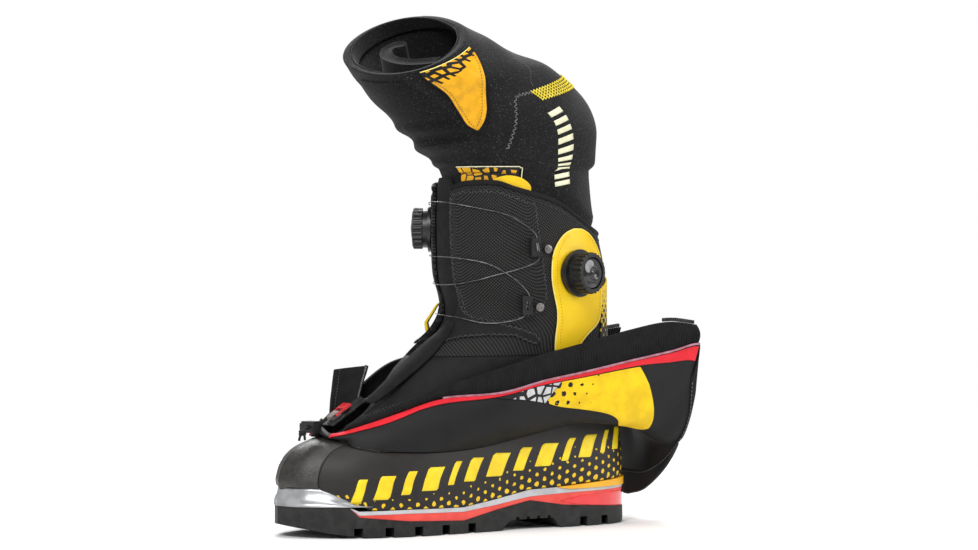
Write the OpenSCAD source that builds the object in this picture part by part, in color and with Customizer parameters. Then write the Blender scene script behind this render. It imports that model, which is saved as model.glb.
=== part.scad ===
// Mountaineering double boot for the left foot, shown with its gaiter unzipped
// and folded down. Units are millimetres. The ground is z = 0 and the origin is
// under the middle of the heel tread. The toe points to -X, the outer side of
// the foot is -Y and up is +Z.

/* [Sole] */
// width of the gap between two tread lugs
lug_gap = 7; // [5:0.5:9]
// depth of the gap between two tread lugs
lug_depth = 7.5; // [4:0.5:8]
// width of the ledge the toe welt leaves for a crampon bail
welt_w = 9; // [7:0.5:11]
// thickness of the carbon stiffener above the midsole
shank_t = 1.6; // [1:0.1:2]

/* [Upper] */
// thickness of the rubber rand and toe cap
rand_t = 2.4; // [1.8:0.1:2.6]
// wall thickness of the lower shell and the quarters
shell_t = 2.8; // [2:0.1:3]
// wall thickness of the padded liner
liner_t = 7; // [5:0.5:9]
// thickness of the tongue
tongue_t = 2.8; // [2:0.1:3]

/* [Gaiter] */
// thickness of the gaiter fabric with its membrane
gaiter_t = 2; // [1.4:0.1:2.4]
// thickness of the ribbed zip band
band_t = 4.5; // [3:0.5:6]

/* [Closure] */
// outer diameter of a dial knob over its grip ridges
knob_d = 34; // [32:0.5:36]
// height of a dial knob
knob_h = 10.5; // [9:0.5:12]
// diameter of the spindle pin of a dial
pin_d = 6; // [5:0.5:7]
// diameter of the steel lace
wire_d = 1; // [0.8:0.1:1.2]
// travel of the zip slider along the short chain at the toe
zip_travel = 12; // [8:1:14]

/* [Hidden] */
gap = 0.3;
toe_x = -253;
heel_x = 62;
half_w = 54;

// half widths of the sole by share of its length from the toe
LAT = [[0, 0], [0.02, 16], [0.06, 28], [0.13, 42], [0.22, 51], [0.32, 54],
  [0.45, 50], [0.6, 44.5], [0.75, 43], [0.88, 40], [0.95, 31], [0.985, 18], [1, 0]];
MED = [[0, 0], [0.02, 18], [0.06, 31], [0.13, 43], [0.22, 52], [0.32, 51],
  [0.45, 43], [0.6, 36], [0.75, 37.5], [0.88, 37.5], [0.95, 30], [0.985, 18], [1, 0]];
// height, front x, back x, share of shaft shape, width share, shaft half width
PROF = [[36, -250, 60, 0, 1, 48], [45, -251, 61, 0, 1, 48], [58, -246, 61, 0, 0.97, 47.6],
  [68, -235, 60, 0.02, 0.93, 47.3], [76, -215, 59, 0.06, 0.9, 47],
  [86, -195, 57, 0.12, 0.88, 46.6], [100, -174, 54, 0.25, 0.9, 46.2],
  [128, -148, 50, 0.55, 0.95, 46], [147, -128, 47.5, 0.8, 0.98, 46.4],
  [162, -110, 46, 0.95, 1, 47], [180, -101, 45, 1, 1, 49], [206, -107, 44, 1, 1, 52],
  [240, -109, 37, 1, 1, 50], [262, -109, 32, 1, 1, 49], [290, -108, 29, 1, 1, 48]];
// heights of the sole layers along the foot
BOT = [[-253, 10], [-240, 7], [-225, 3.5], [-205, 0.8], [-190, 0], [-75, 0], [-68, 8],
  [-26, 8], [-18, 0], [48, 0], [62, 3]];
BR = [[-253, 24], [-212, 24], [-204, 16], [-165, 12], [-113, 10], [-80, 17], [-48, 23],
  [-16, 18], [62, 13]];
RG = [[-212, 24.05], [-204, 17.5], [-165, 18], [-113, 17], [-80, 21], [-48, 26],
  [-16, 27.5], [62, 29.5]];
GT = [[-212, 24.1], [-204, 20.5], [-165, 21], [-113, 20.5], [-80, 25.5], [-48, 31.5],
  [-22, 32.5], [-10, 30.5], [62, 31.5]];
YT = [[-253, 24], [-212, 24.1], [-204, 20.5], [-165, 21], [-113, 20.5], [-80, 25.5],
  [-48, 31.5], [-22, 32.6], [57, 38], [62, 38.2]];
WT = [[-253, 39], [-232, 38], [-222, 33], [-212, 28], [-204, 24.2]];
// lower edge of the upper along the foot and top edge of the rand by angle
LOW = [[-260, 39.3], [-253, 39.3], [-232, 38.3], [-222, 33.6], [-212, 28.6], [-203, 24.6],
  [-196, 21.4], [-165, 21.4], [-113, 20.9], [-80, 25.9], [-48, 31.9], [-20, 33.1],
  [57, 38.4], [70, 38.7]];
RTOP = [[0, 77], [12, 76.5], [34, 70.7], [51, 66.8], [70, 65.3], [88, 67.9],
  [105, 76.8], [127, 87.6], [152, 90.5], [180, 92]];
cap_deg = 29;
// top edge of the quarters by angle
CUFF = [[0, 275], [12, 273], [30, 277], [56, 277.5], [71, 272.5], [95, 265],
  [106, 260], [125, 248], [143, 240], [180, 236]];
// liner rings above the cuff: front x, front z, back x, back z, half width, tilt
LIN = [[0, -101, 290, 28, 290, 42, 0], [1, -110, 297, 35, 301, 43, 0],
  [2, -124, 308, 38, 330, 46, 0], [3, -138, 321, 22, 356, 49, 2],
  [4, -151, 333, -12, 380, 51, 5], [5, -165, 345, -40, 390, 52, 9],
  [6, -178, 358, -66, 401, 52, 14], [7, -189, 371, -91, 412, 51, 19]];
// free edge of the folded gaiter by angle: zip edge, then the collar behind
EDGE = [[0, -214, 0, 84], [15, -211, -17, 79], [30, -191, -30, 86], [45, -160, -38, 97],
  [60, -130, -46, 107], [75, -86, -60, 111], [90, -47, -65, 121], [105, -8, -66, 128],
  [120, 35, -65, 136], [135, 75, -63, 143], [149, 106, -60, 149], [153, 106, -60, 140],
  [158, 102, -60, 111], [164, 94, -56, 78], [170, 86, -44, 48], [175, 76, -25, 27],
  [180, 73, 0, 20]];
// point each gaiter strip bulges towards
BULGE = [[0, -222, 0, 82], [15, -220, -20, 76], [30, -203, -37, 77], [45, -178, -50, 77],
  [60, -150, -57, 78], [75, -118, -61, 80], [90, -80, -63, 83], [105, -40, -64, 84],
  [120, 8, -67, 78], [135, 45, -68, 64], [150, 74, -65, 48], [160, 84, -58, 42],
  [170, 90, -38, 64], [180, 94, 0, 90]];
// top of the ribbed zip band by angle
BAND = [[20, -203, -20, 86], [30, -187, -26, 95], [45, -164, -35, 104],
  [60, -133, -44, 115], [75, -86, -56, 130], [90, -47, -59, 141], [105, -8, -60, 150],
  [120, 35, -60, 160], [135, 75, -58, 166.5], [149, 105, -57, 164]];

// the same on the inner side of the foot, where the band stands higher in front
BAND_IN = [[20, -203, -20, 86], [30, -188, -26, 98], [45, -162, -36, 115],
  [60, -128, -44, 134], [75, -84, -54, 141], [90, -47, -58, 143], [105, -8, -60, 147],
  [120, 35, -60, 152], [135, 75, -59, 156], [149, 105, -58, 160]];

// smooth curve through the rows of a table, keyed by the first column
function seg(T, x, i = 0) = i >= len(T) - 2 || x < T[i + 1][0] ? i : seg(T, x, i + 1);
function slope(T, k) = let (n = len(T), a = max(k - 1, 0), b = min(k + 1, n - 1))
  (T[b] - T[a]) / (T[b][0] - T[a][0]);
function tab(T, x0) = let (x = min(max(x0, T[0][0]), T[len(T) - 1][0]), i = seg(T, x),
  h = T[i + 1][0] - T[i][0], t = (x - T[i][0]) / h, c = t * t * (3 - 2 * t))
  (1 - c) * T[i] + c * T[i + 1] + t * (1 - t) * (1 - t) * h * slope(T, i)
  - t * t * (1 - t) * h * slope(T, i + 1);
function fold(p) = let (a = abs(p) % 360) a > 180 ? 360 - a : a;

// point of the boot surface at angle p and height z, moved inwards by f
function S(p, z, f = 0) = let (P = tab(PROF, z + f), u = (1 - cos(p)) / 2,
  lat = sin(p) >= 0, w = max(0, tab(lat ? LAT : MED, u)[1]) * P[4],
  e = P[5] * pow(abs(sin(p)), 0.92), y = w * (1 - P[3]) + e * P[3],
  m = half_w * P[4] * (1 - P[3]) + P[5] * P[3])
  [P[1] + f + u * (P[2] - P[1] - 2 * f), (lat ? -1 : 1) * y * (m - f) / m, z];
function low(p, f = 0) = lookup(S(p, 38, f)[0], LOW);

// liner ring point: p angle, t ring number, f inset
function L(p, t, f) = let (R = tab(LIN, t), g = f / 60, c = [(R[1] + R[3]) / 2, 0,
  (R[2] + R[4]) / 2], d = [(R[3] - R[1]) / 2, 0, (R[4] - R[2]) / 2])
  c - d * cos(p) * (1 - g) + [0, -R[5] * (1 - f / R[5]) * sign(sin(p))
  * pow(abs(sin(p)), 0.92), -R[6] * sin(p)];

// gaiter surface: p angle, v from the rand (0) to the free edge (1), o outwards
function mir(P, s) = [P[1], s * P[2], P[3]];
function G0(p, v) = let (a = fold(p), s = sin(p) >= 0 ? 1 : -1,
  B = S(a, tab(RTOP, a)[1] + 0.8 + 1.6 * (1 - ease(26, 36, a)), -0.6), b = [B[0], s * B[1], B[2]],
  M = mir(tab(BULGE, a), s), E = mir(tab(EDGE, a), s))
  (1 - v) * (1 - v) * b + 2 * v * (1 - v) * M + v * v * E;
function G(p, v, o = 0) = let (du = G0(p + 0.5, v) - G0(p - 0.5, v),
  dv = G0(p, v + 0.01) - G0(p, v - 0.01), n = cross(du, dv))
  G0(p, v) + o * n / norm(n);

// closed shell between two grids of points; the grid is a ring when ring is true
module wall(O, I, ring = false) {
  nv = len(O);
  nu = len(O[0]);
  k = nv * nu;
  m = ring ? nu : nu - 1;
  function q(a, b, c, d) = [[a, b, c], [a, c, d]];
  polyhedron(points = [for (r = O) each r, for (r = I) each r], faces = [
    for (j = [0:nv - 2], i = [0:m - 1]) let (a = j * nu + i, b = j * nu + (i + 1) % nu)
      each concat(q(a, a + nu, b + nu, b), q(k + a, k + b, k + b + nu, k + a + nu)),
    for (i = [0:m - 1]) let (a = i, b = (i + 1) % nu, t = (nv - 1) * nu)
      each concat(q(a, b, k + b, k + a), q(t + a, k + t + a, k + t + b, t + b)),
    if (!ring) for (j = [0:nv - 2]) let (a = j * nu, b = j * nu + nu - 1)
      each concat(q(a, k + a, k + a + nu, a + nu), q(b, b + nu, k + b + nu, k + b))]);
}
function steps(a, b, n) = [for (i = [0:n]) a + (b - a) * i / n];
function ringp(n) = [for (i = [0:n - 1]) 360 * i / n];

// skin on the boot surface: angles ps, heights from z0(p) to z1(p) by the shares vs
module skin(ps, vs, f0, f1, ring = false, za, zb)
  wall([for (v = vs) [for (i = [0:len(ps) - 1]) S(ps[i], za[i] + v * (zb[i] - za[i]), f0)]],
    [for (v = vs) [for (i = [0:len(ps) - 1]) S(ps[i], za[i] + v * (zb[i] - za[i]), f1)]],
    ring);
// skin on the gaiter surface, from share va to vb at each angle
module gskin(ps, n, o0, o1, va, vb)
  wall([for (j = [0:n]) [for (i = [0:len(ps) - 1]) G(ps[i], va[i] + (vb[i] - va[i]) * j / n, o1)]],
    [for (j = [0:n]) [for (i = [0:len(ps) - 1]) G(ps[i], va[i] + (vb[i] - va[i]) * j / n, o0)]]);

// tube with eight sides along a list of points
function unit(v) = v / max(norm(v), 1e-6);
module tube(P, d, n = 8) {
  k = len(P);
  T = [for (i = [0:k - 1]) unit(P[min(i + 1, k - 1)] - P[max(i - 1, 0)])];
  U = [for (i = [0:k - 1]) unit(cross(T[i], abs(T[i][2]) > 0.9 ? [1, 0, 0] : [0, 0, 1]))];
  polyhedron(points = [for (i = [0:k - 1], j = [0:n - 1]) let (a = 360 * j / n)
    P[i] + d / 2 * (cos(a) * U[i] + sin(a) * cross(T[i], U[i]))],
    faces = [for (i = [0:k - 2], j = [0:n - 1]) let (a = i * n + j, b = i * n + (j + 1) % n)
      each [[a, a + n, b + n], [a, b + n, b]], [for (j = [0:n - 1]) j],
      [for (j = [0:n - 1]) (k - 1) * n + n - 1 - j]]);
}
function smooth(P, n) = [for (t = steps(0, len(P) - 1, n)) let (R = tab([for (i = [0:len(P) - 1])
  concat([i], P[i])], t)) [for (k = [1:len(P[0])]) R[k]]];

// plan outline of the sole inset by f, and a solid between two side curves
function plan(f) = [for (a = ringp(72)) let (u = (1 - cos(a)) / 2, s = sin(a) >= 0)
  [toe_x + f + u * (heel_x - toe_x - 2 * f),
  (s ? -1 : 1) * max(0, tab(s ? LAT : MED, u)[1]) * (half_w + 1 - f) / half_w]];
module prism(f, z0 = -1, z1 = 60) translate([0, 0, z0]) linear_extrude(z1 - z0)
  polygon(plan(f));
module side(A, B) rotate([90, 0, 0]) linear_extrude(130, center = true)
  polygon(concat(A, [for (i = [len(B) - 1:-1:0]) B[i]]));
function lift(T, d) = [for (r = T) r + [0, d]];
function span(T, a, b) = concat([[a, lookup(a, T)]], [for (r = T) if (r[0] > a && r[0] < b) r],
  [[b, lookup(b, T)]]);

module outsole() color([0.1, 0.1, 0.1]) difference() {
  intersection() { prism(0); side(BOT, BR); }
  for (x = [-204, -179, -154, -129, -104], s = [-1, 1]) translate([x, s * 40, 0])
    rotate([0, 0, s * 8]) cube([lug_gap, 44, 2 * lug_depth], center = true);
  for (x = [-192, -167, -142, -117, -92]) translate([x, 0, 0])
    rotate([0, 0, 45]) cube([7, 7, 2 * lug_depth], center = true);
  translate([-140, 0, 0]) cube([120, 5, 2 * lug_depth], center = true);
  for (x = [-60, -50, -40, -30]) translate([x, 0, 8]) cube([3, 120, 4], center = true);
  for (x = [4, 26], s = [-1, 1]) translate([x, s * 38, 0])
    cube([lug_gap, 26, 2 * lug_depth], center = true);
  translate([28, 0, 0]) cube([28, 10, 2 * lug_depth], center = true);
}
lens_pts = [[-19, 21], [-6, 18.2], [10, 16.6], [30, 15.4], [50, 14.6], [70, 14],
  [70, 26.5], [50, 26.6], [20, 26], [0, 24.6], [-12, 22.8]];
module lens() rotate([90, 0, 0]) linear_extrude(130, center = true) polygon(lens_pts);
module midsole() color([0.85, 0.16, 0.15]) difference() {
  intersection() { prism(0.8); side(lift(span(BR, -211, 62), 0.05), span(RG, -211, 62)); }
  lens();
}
module heel_insert() color([0.9, 0.1, 0.12]) intersection() { prism(0.5); lens(); }
module sole_band() color([0.75, 0.76, 0.78]) intersection() {
  prism(0.4);
  side(lift(span(RG, -211, 62), 0.05), span(GT, -211, 62));
}
module heel_welt() color([0.93, 0.68, 0.12]) intersection() {
  prism(-0.8);
  side(lift(span(GT, -21, 63), 0.05), span(YT, -21, 63));
}
module toe_welt() color([0.72, 0.73, 0.75]) difference() {
  intersection() {
    prism(-0.6);
    side([[-255, 24.15], [-204, 24.15]], concat([[-255, 39]], WT));
  }
  prism(welt_w);
}
module plate(f, h0, t, a, b) intersection() {
  prism(f);
  side(lift(span(LOW, a, b), h0), lift(span(LOW, a, b), h0 + t));
}
module shank() color([0.12, 0.12, 0.13]) plate(14, 0.1, shank_t, -186, 40);
module lasting_board() color([0.35, 0.33, 0.3]) plate(14, 2.4, 1.6, -196, 46);
module footbed() color([0.2, 0.2, 0.22]) plate(19, 12, 2.5, -190, 38);

RP = ringp(56);
module rand() color([0.2, 0.18, 0.17]) let (ps = steps(cap_deg + 0.15, 360 - cap_deg - 0.15, 50))
  skin(ps, steps(0, 1, 6), 0, rand_t, false, [for (p = ps) low(p)],
    [for (p = ps) tab(RTOP, fold(p))[1]]);
module toe_cap() color([0.23, 0.23, 0.24]) let (ps = steps(-cap_deg, cap_deg, 16))
  skin(ps, steps(0, 1, 8), -0.3, rand_t, false, [for (p = ps) low(p)],
    [for (p = ps) tab(RTOP, fold(p))[1]]);
function inset(z) = z < 96 ? 3 : 3 - 2.8 * min(1, (z - 96) / 34);
module lower_shell() color([0.13, 0.13, 0.14]) let (zs = function(p, v) let (a = low(p) + 0.3)
  a + v * (140 - a))
  wall([for (v = steps(0, 1, 11)) [for (p = RP) let (z = zs(p, v)) S(p, z, inset(z))]],
    [for (v = steps(0, 1, 11)) [for (p = RP) let (z = zs(p, v)) S(p, z, inset(z) + shell_t)]],
    true);
module quarters() color([0.14, 0.14, 0.15]) let (ps = steps(15, 345, 50))
  skin(ps, steps(0, 1, 8), 0.2, 0.2 + shell_t, false, [for (p = ps) 140.3],
    [for (p = ps) tab(CUFF, fold(p))[1]]);
function ease(a, b, x) = let (t = min(1, max(0, (x - a) / (b - a)))) t * t * (3 - 2 * t);
module tongue() color([0.1, 0.1, 0.1]) let (ps = steps(-40, 40, 16))
  skin(ps, steps(0, 1, 8), 1 + shell_t, 1 + shell_t + tongue_t, false,
    [for (p = ps) 144], [for (p = ps) 285 - 18 * ease(10, 22, abs(p))]);
module cuff_trim() color([0.16, 0.16, 0.17]) let (ps = steps(15, 345, 50))
  skin(ps, [0, 0.5, 1], -0.8, 0.2 + shell_t, false,
    [for (p = ps) tab(CUFF, fold(p))[1] + 0.2], [for (p = ps) tab(CUFF, fold(p))[1] + 4.5]);
// lower and upper edge of the mesh panel by angle
MLO = [[19, 196], [22, 180], [30, 173], [39, 170], [57, 168], [70, 172], [78, 176], [84, 186]];
MHI = [[19, 270], [30, 272], [57, 272], [71, 267], [84, 262]];
module mesh_panels() color([0.2, 0.2, 0.21]) for (s = [1, -1]) let (ps = s > 0
  ? steps(19, 84, 14) : steps(276, 298, 5))
  skin(ps, steps(0, 1, 12), -1.45, -0.9, false, [for (p = ps) tab(MLO, fold(p))[1]],
    [for (p = ps) tab(MHI, fold(p))[1]]);
module instep_overlay() color([0.11, 0.11, 0.12]) for (s = [1, -1]) let (ps = s > 0
  ? steps(30, 88, 12) : steps(272, 330, 12))
  skin(ps, [0, 0.5, 1], -1.1, -0.4, false, [for (p = ps) 146],
    [for (p = ps) 156 + 4 * sin(fold(p) * 2)]);
module rear_strip() color([0.9, 0.68, 0.1]) let (ps = steps(152, 208, 10))
  skin(ps, steps(0, 1, 5), -1.2, -0.1, false, [for (p = ps) 148 + abs(p - 180) * 0.3],
    [for (p = ps) 205 - abs(p - 180) * 0.8]);

// lateral plate: front and back edge angle by height
PLA = [[143, 101, 117], [150, 99, 118], [158, 96.5, 123], [165, 95, 131], [172, 93.5, 135],
  [190, 89.5, 136], [205, 89, 137], [222, 92, 139], [233, 98, 134], [240, 105, 127],
  [243, 112, 120]];
module dial_plate_lateral() color([0.95, 0.75, 0.15]) let (zs = steps(143.5, 243, 14),
  P = [for (z = zs) tab(PLA, z)])
  wall([for (i = [0:14]) [for (a = steps(0, 1, 6)) S(P[i][1] + a * (P[i][2] - P[i][1]), zs[i], -1.7)]],
    [for (i = [0:14]) [for (a = steps(0, 1, 6)) S(P[i][1] + a * (P[i][2] - P[i][1]), zs[i], -0.1)]]);

// dials: local +Z points away from the shaft
dial_l = [-6, -51.5, 207];
dial_m = [-98, 32, 244];
spin_l = 20;
spin_m = -122;
module at(pos, a) translate(pos) rotate([0, 0, a]) rotate([90, 0, 0]) children();
module shaft_core(z, f) translate([0, 0, z - 32]) linear_extrude(64)
  polygon([for (p = ringp(60)) let (q = S(p, z, f)) [q[0], q[1]]]);
module dial_base(pos, a, f) color([0.08, 0.08, 0.08]) difference() {
  at(pos, a) difference() {
    union() {
      translate([0, 0, -7]) cylinder(d = knob_d + 5, h = 9, $fn = 64);
      translate([0, 0, -7]) cylinder(d = knob_d - 2, h = 13, $fn = 64);
    }
    translate([0, 0, 1.4]) cylinder(d = knob_d - 8, h = 10, $fn = 64);
    translate([0, 0, -8]) cylinder(d = pin_d + 0.1, h = 20, $fn = 48);
  }
  shaft_core(pos[2], f);
}
module dial_spool(pos, a) color([0.5, 0.5, 0.52]) at(pos, a) rotate_extrude($fn = 64)
  polygon([[pin_d / 2 + 0.05, 1.7], [knob_d / 2 - 4.6, 1.7], [knob_d / 2 - 4.6, 2.5],
    [knob_d / 2 - 8, 3], [knob_d / 2 - 8, 4.4], [knob_d / 2 - 4.6, 4.9],
    [knob_d / 2 - 4.6, 5.7], [pin_d / 2 + 0.05, 5.7]]);
module dial_spindle(pos, a) color([0.6, 0.6, 0.62]) at(pos, a) {
  translate([0, 0, 0.3]) cylinder(d = pin_d, h = knob_h, $fn = 48);
  translate([0, 0, knob_h + 0.3]) cylinder(d = pin_d + 4, h = 1.6, $fn = 48);
}
module dial_knob(pos, a) color([0.1, 0.1, 0.1]) at(pos, a) difference() {
  union() {
    translate([0, 0, 6.3]) cylinder(d = knob_d - 2.4, h = knob_h - 2, $fn = 64);
    for (i = [0:23]) rotate([0, 0, 15 * i]) translate([knob_d / 2 - 1.4, 0, 6.8])
      cylinder(r = 1.4, h = knob_h - 3.2, $fn = 16);
  }
  translate([0, 0, 6]) cylinder(d = pin_d + 0.1, h = 20, $fn = 48);
  translate([0, 0, knob_h + 0.25]) cylinder(d = pin_d + 4.4, h = 20, $fn = 48);
  translate([0, 0, knob_h + 2.2]) cylinder(d = knob_d - 8, h = 20, $fn = 64);
}
module dial_cap(pos, a) color([0.12, 0.12, 0.13]) at(pos, a) intersection() {
  translate([0, 0, knob_h + 2.25]) cylinder(d = knob_d - 8.1, h = 8, $fn = 64);
  translate([0, 0, knob_h - 34.6]) sphere(r = 40.4, $fn = 96);
}
module dial_base_lateral() dial_base(dial_l, spin_l, -3);
module dial_spool_lateral() dial_spool(dial_l, spin_l);
module dial_spindle_lateral() dial_spindle(dial_l, spin_l);
module dial_knob_lateral() dial_knob(dial_l, spin_l);
module dial_cap_lateral() dial_cap(dial_l, spin_l);
module dial_base_medial() dial_base(dial_m, spin_m, -1.3);
module dial_spool_medial() dial_spool(dial_m, spin_m);
module dial_spindle_medial() dial_spindle(dial_m, spin_m);
module dial_knob_medial() dial_knob(dial_m, spin_m);
module dial_cap_medial() dial_cap(dial_m, spin_m);

// guides and rivets: angle and height on the shaft; a frame standing on it
GUIDE = [[79, 228], [70, 181], [290, 228], [290, 181]];
RIVET = [[88, 226.5], [79, 179.5], [282, 226.5], [282, 179.5]];
module stand(p, z, f) let (a = S(p - 2, z, f), b = S(p + 2, z, f), c = S(p, z, f))
  translate(c) rotate([0, 0, atan2(b[1] - a[1], b[0] - a[0])]) rotate([90, 0, 0]) children();
module lace_guides() color([0.07, 0.07, 0.07]) for (g = GUIDE) stand(g[0], g[1], -2.5)
  difference() {
    union() {
      translate([-5, -7.5, 0.2]) cube([10, 15, 1.1]);
      translate([-5, -7.5, 0.2]) cube([2.2, 15, 5.2]);
      translate([-5, -7.5, 3.6]) cube([7.5, 15, 1.8]);
    }
    translate([-1.8, -3.5, 3]) cube([9, 7, 4]);
  }
module guide_rivets() color([0.55, 0.56, 0.58]) for (g = RIVET) stand(g[0], g[1], -1.6)
  translate([0, 0, 0.5]) {
    cylinder(d = 7, h = 1.2, $fn = 32);
    translate([0, 0, 1.2]) cylinder(d = 4, h = 0.7, $fn = 32);
  }
// wires: angle, height and lift above the surface along each run
WU = [[331, 263, 2.2], [347, 265, 2.2], [376, 264, 2.2], [404, 259, 2.3], [423, 254, 2.4],
  [433, 247, 3.2], [439, 240, 4.8], [440.5, 234, 5.1], [440.5, 228, 5.1], [440.5, 222, 5.1],
  [438, 216, 4.6], [426, 210, 2.8], [410, 205, 2.3], [396, 201, 2.3], [376, 198, 2.3],
  [350, 198, 2.3], [330, 200, 2.3]];
WM = [[334, 222, 2], [346, 221, 2], [375, 220, 2.2], [398, 217, 3.4], [410, 213, 4.2],
  [418, 207, 4.4], [425, 200, 4], [430, 192, 4.8], [431.5, 187, 5.1], [431.5, 181, 5.1],
  [431.5, 175, 5.1], [428, 170, 4.4], [416, 167, 2.6], [403, 167, 2], [383, 171, 2],
  [360, 173, 2], [340, 174, 2]];
module wire(W) let (P = smooth(W, 64))
  tube([for (w = P) S(w[0] % 360, w[1], -w[2])], wire_d, 6);
module lace_wire_upper() color([0.5, 0.5, 0.52]) wire(WU);
module lace_wire_lower() color([0.5, 0.5, 0.52]) wire(WM);
// strap over the instep: lower and upper edge angle by height
STR = [[103, -16, 12], [116, 0, 18], [129, 6, 24], [143, 8, 27], [156, 10, 25], [168, 12, 20]];
module instep_strap() color([0.1, 0.1, 0.11]) let (zs = steps(103, 168, 14),
  P = [for (z = zs) tab(STR, z)])
  wall([for (i = [0:14]) [for (a = steps(0, 1, 4)) S(P[i][1] + a * (P[i][2] - P[i][1]), zs[i], -3.4)]],
    [for (i = [0:14]) [for (a = steps(0, 1, 4)) S(P[i][1] + a * (P[i][2] - P[i][1]), zs[i], -1.2)]]);
module pull_tab() color([0.93, 0.75, 0.15]) stand(334, 169.5, -4.8) translate([-1.5, -11, 0])
  intersection() {
    cube([3, 22, 8]);
    translate([-1, 11, -2.5]) rotate([0, 90, 0]) cylinder(r = 12, h = 5, $fn = 48);
  }

GP = concat(steps(0, 144, 28), steps(147, 180, 12), steps(182.75, 213, 11), steps(216, 355, 27));
module gaiter() color([0.11, 0.11, 0.12]) wall(
  [for (v = steps(0, 1, 6)) [for (p = GP) G(p, v, gaiter_t / 2)]],
  [for (v = steps(0, 1, 6)) [for (p = GP) G(p, v, -gaiter_t / 2)]], true);
module both() { children(); mirror([0, 1, 0]) children(); }
function bandp(B, p, v, o) = let (a = G(p, 1, 0), b = tab(B, p), T = [b[1], b[2], b[3]],
  n = unit(cross(G(p + 0.5, 1) - G(p - 0.5, 1), T - a)), l = a + 1.1 * unit(T - a))
  l + v * (T - l) + [0, -2.5 * sin(180 * v), 0] + o * n;
module band(B) let (ps = steps(20, 149, 46), b = band_t / 2)
  wall([for (v = steps(0, 1, 4)) [for (p = ps) bandp(B, p, v, b - 0.8 * pow(2 * v - 1, 2))]],
    [for (v = steps(0, 1, 4)) [for (p = ps) bandp(B, p, v, -b + 0.8 * pow(2 * v - 1, 2))]]);
module zip_band() color([0.09, 0.09, 0.09]) {
  band(BAND);
  mirror([0, 1, 0]) band(BAND_IN);
}
RED = [[14, 0.6], [25, 0.72], [40, 0.82], [52, 0.9], [74, 0.945], [125, 0.945], [149, 0.92]];
module zip_lining() color([0.85, 0.15, 0.18]) both() let (ps = steps(14, 149, 46))
  gskin(ps, 1, gaiter_t / 2 + 0.2, gaiter_t / 2 + 1.2, [for (p = ps) lookup(p, RED)],
    [for (p = ps) 0.985]);
module teeth(B) for (i = [0:13]) let (c = bandp(B, 134 + i * 1.05, 1, 0))
  translate([c[0], c[1], c[2] + 0.6]) rotate([0, -3, -3]) translate([-0.8, -1.8, 0])
  cube([1.6, 3.6, 3]);
module zip_teeth() color([0.15, 0.15, 0.16]) {
  teeth(BAND);
  mirror([0, 1, 0]) teeth(BAND_IN);
}
PVA = [[97.5, 0.7], [104.5, 0.61], [115, 0.53], [123.5, 0.47], [128.5, 0.4], [134, 0.27], [140, 0.215],
  [145, 0.22], [148, 0.27]];
PVB = [[97.5, 0.935], [124.5, 0.935], [131, 0.8], [137, 0.65], [143, 0.5], [148, 0.36]];
module side_patch() color([0.95, 0.76, 0.15]) let (ps = steps(97.5, 148, 20))
  gskin(ps, 6, gaiter_t / 2 + 0.2, gaiter_t / 2 + 1, [for (p = ps) tab(PVA, p)[1]],
    [for (p = ps) lookup(p, PVB)]);
module pebble_panel() color([0.4, 0.4, 0.42]) let (ps = steps(76, 97.2, 10))
  gskin(ps, 4, gaiter_t / 2 + 0.2, gaiter_t / 2 + 1, [for (p = ps) 0.925 - (p - 76) * 0.0106],
    [for (p = ps) 0.935]);
module hem_binding() color([0.1, 0.1, 0.1]) let (ps = steps(151, 209, 40))
  gskin(ps, 1, gaiter_t / 2 + 0.2, gaiter_t / 2 + 1.6, [for (p = ps) 0.84], [for (p = ps) 0.995]);

// zip end that stands up at the toe, short chain, slider and pull
flap_bow = [[-188, 12, 95], [-186, 12, 104], [-183, 13, 116], [-179, 14, 131]];
module toe_zip_flap() color([0.08, 0.08, 0.08]) let (P = smooth(flap_bow, 12))
  wall([for (j = [0:12]) [for (a = steps(-1, 1, 4)) P[j] + [(9 + 0.3 * j) * a, 4 - 5 * a - 2 * a * a, 2 * a]]],
    [for (j = [0:12]) [for (a = steps(-1, 1, 4)) P[j] + [(9 + 0.3 * j) * a, 7.5 - 5 * a - 2 * a * a, 2 * a]]]);
chain_pos = [-206, 0, 89];
chain_tilt = -34;
module on_chain() translate(chain_pos) rotate([0, chain_tilt, 0]) children();
module toe_zip_chain() color([0.12, 0.12, 0.13]) on_chain() {
  translate([-4, -9, -1.6]) cube([zip_travel + 25, 18, 1.4]);
  translate([-3, -1.5, -0.25]) cube([zip_travel + 24, 3, 1.5]);
}
module zip_slider() color([0.3, 0.3, 0.31]) on_chain() difference() {
  translate([0, -4.5, 0.1]) cube([9, 9, 4.4]);
  translate([-1, -1.6, -1]) cube([11, 3.2, 2.4]);
  translate([4.5, -6, 3.2]) rotate([-90, 0, 0]) cylinder(d = 1.6, h = 12, $fn = 24);
}
module zip_pull() color([0.1, 0.1, 0.1]) on_chain() {
  translate([4.5, -5, 3.2]) rotate([-90, 0, 0]) cylinder(d = 1.5, h = 10, $fn = 24);
  for (y = [-6.4, 5]) translate([3.8, y, 2.5]) cube([9.2, 1.4, 1.4]);
  translate([12.6, -6.4, 2.2]) cube([7, 12.8, 2]);
}
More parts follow.
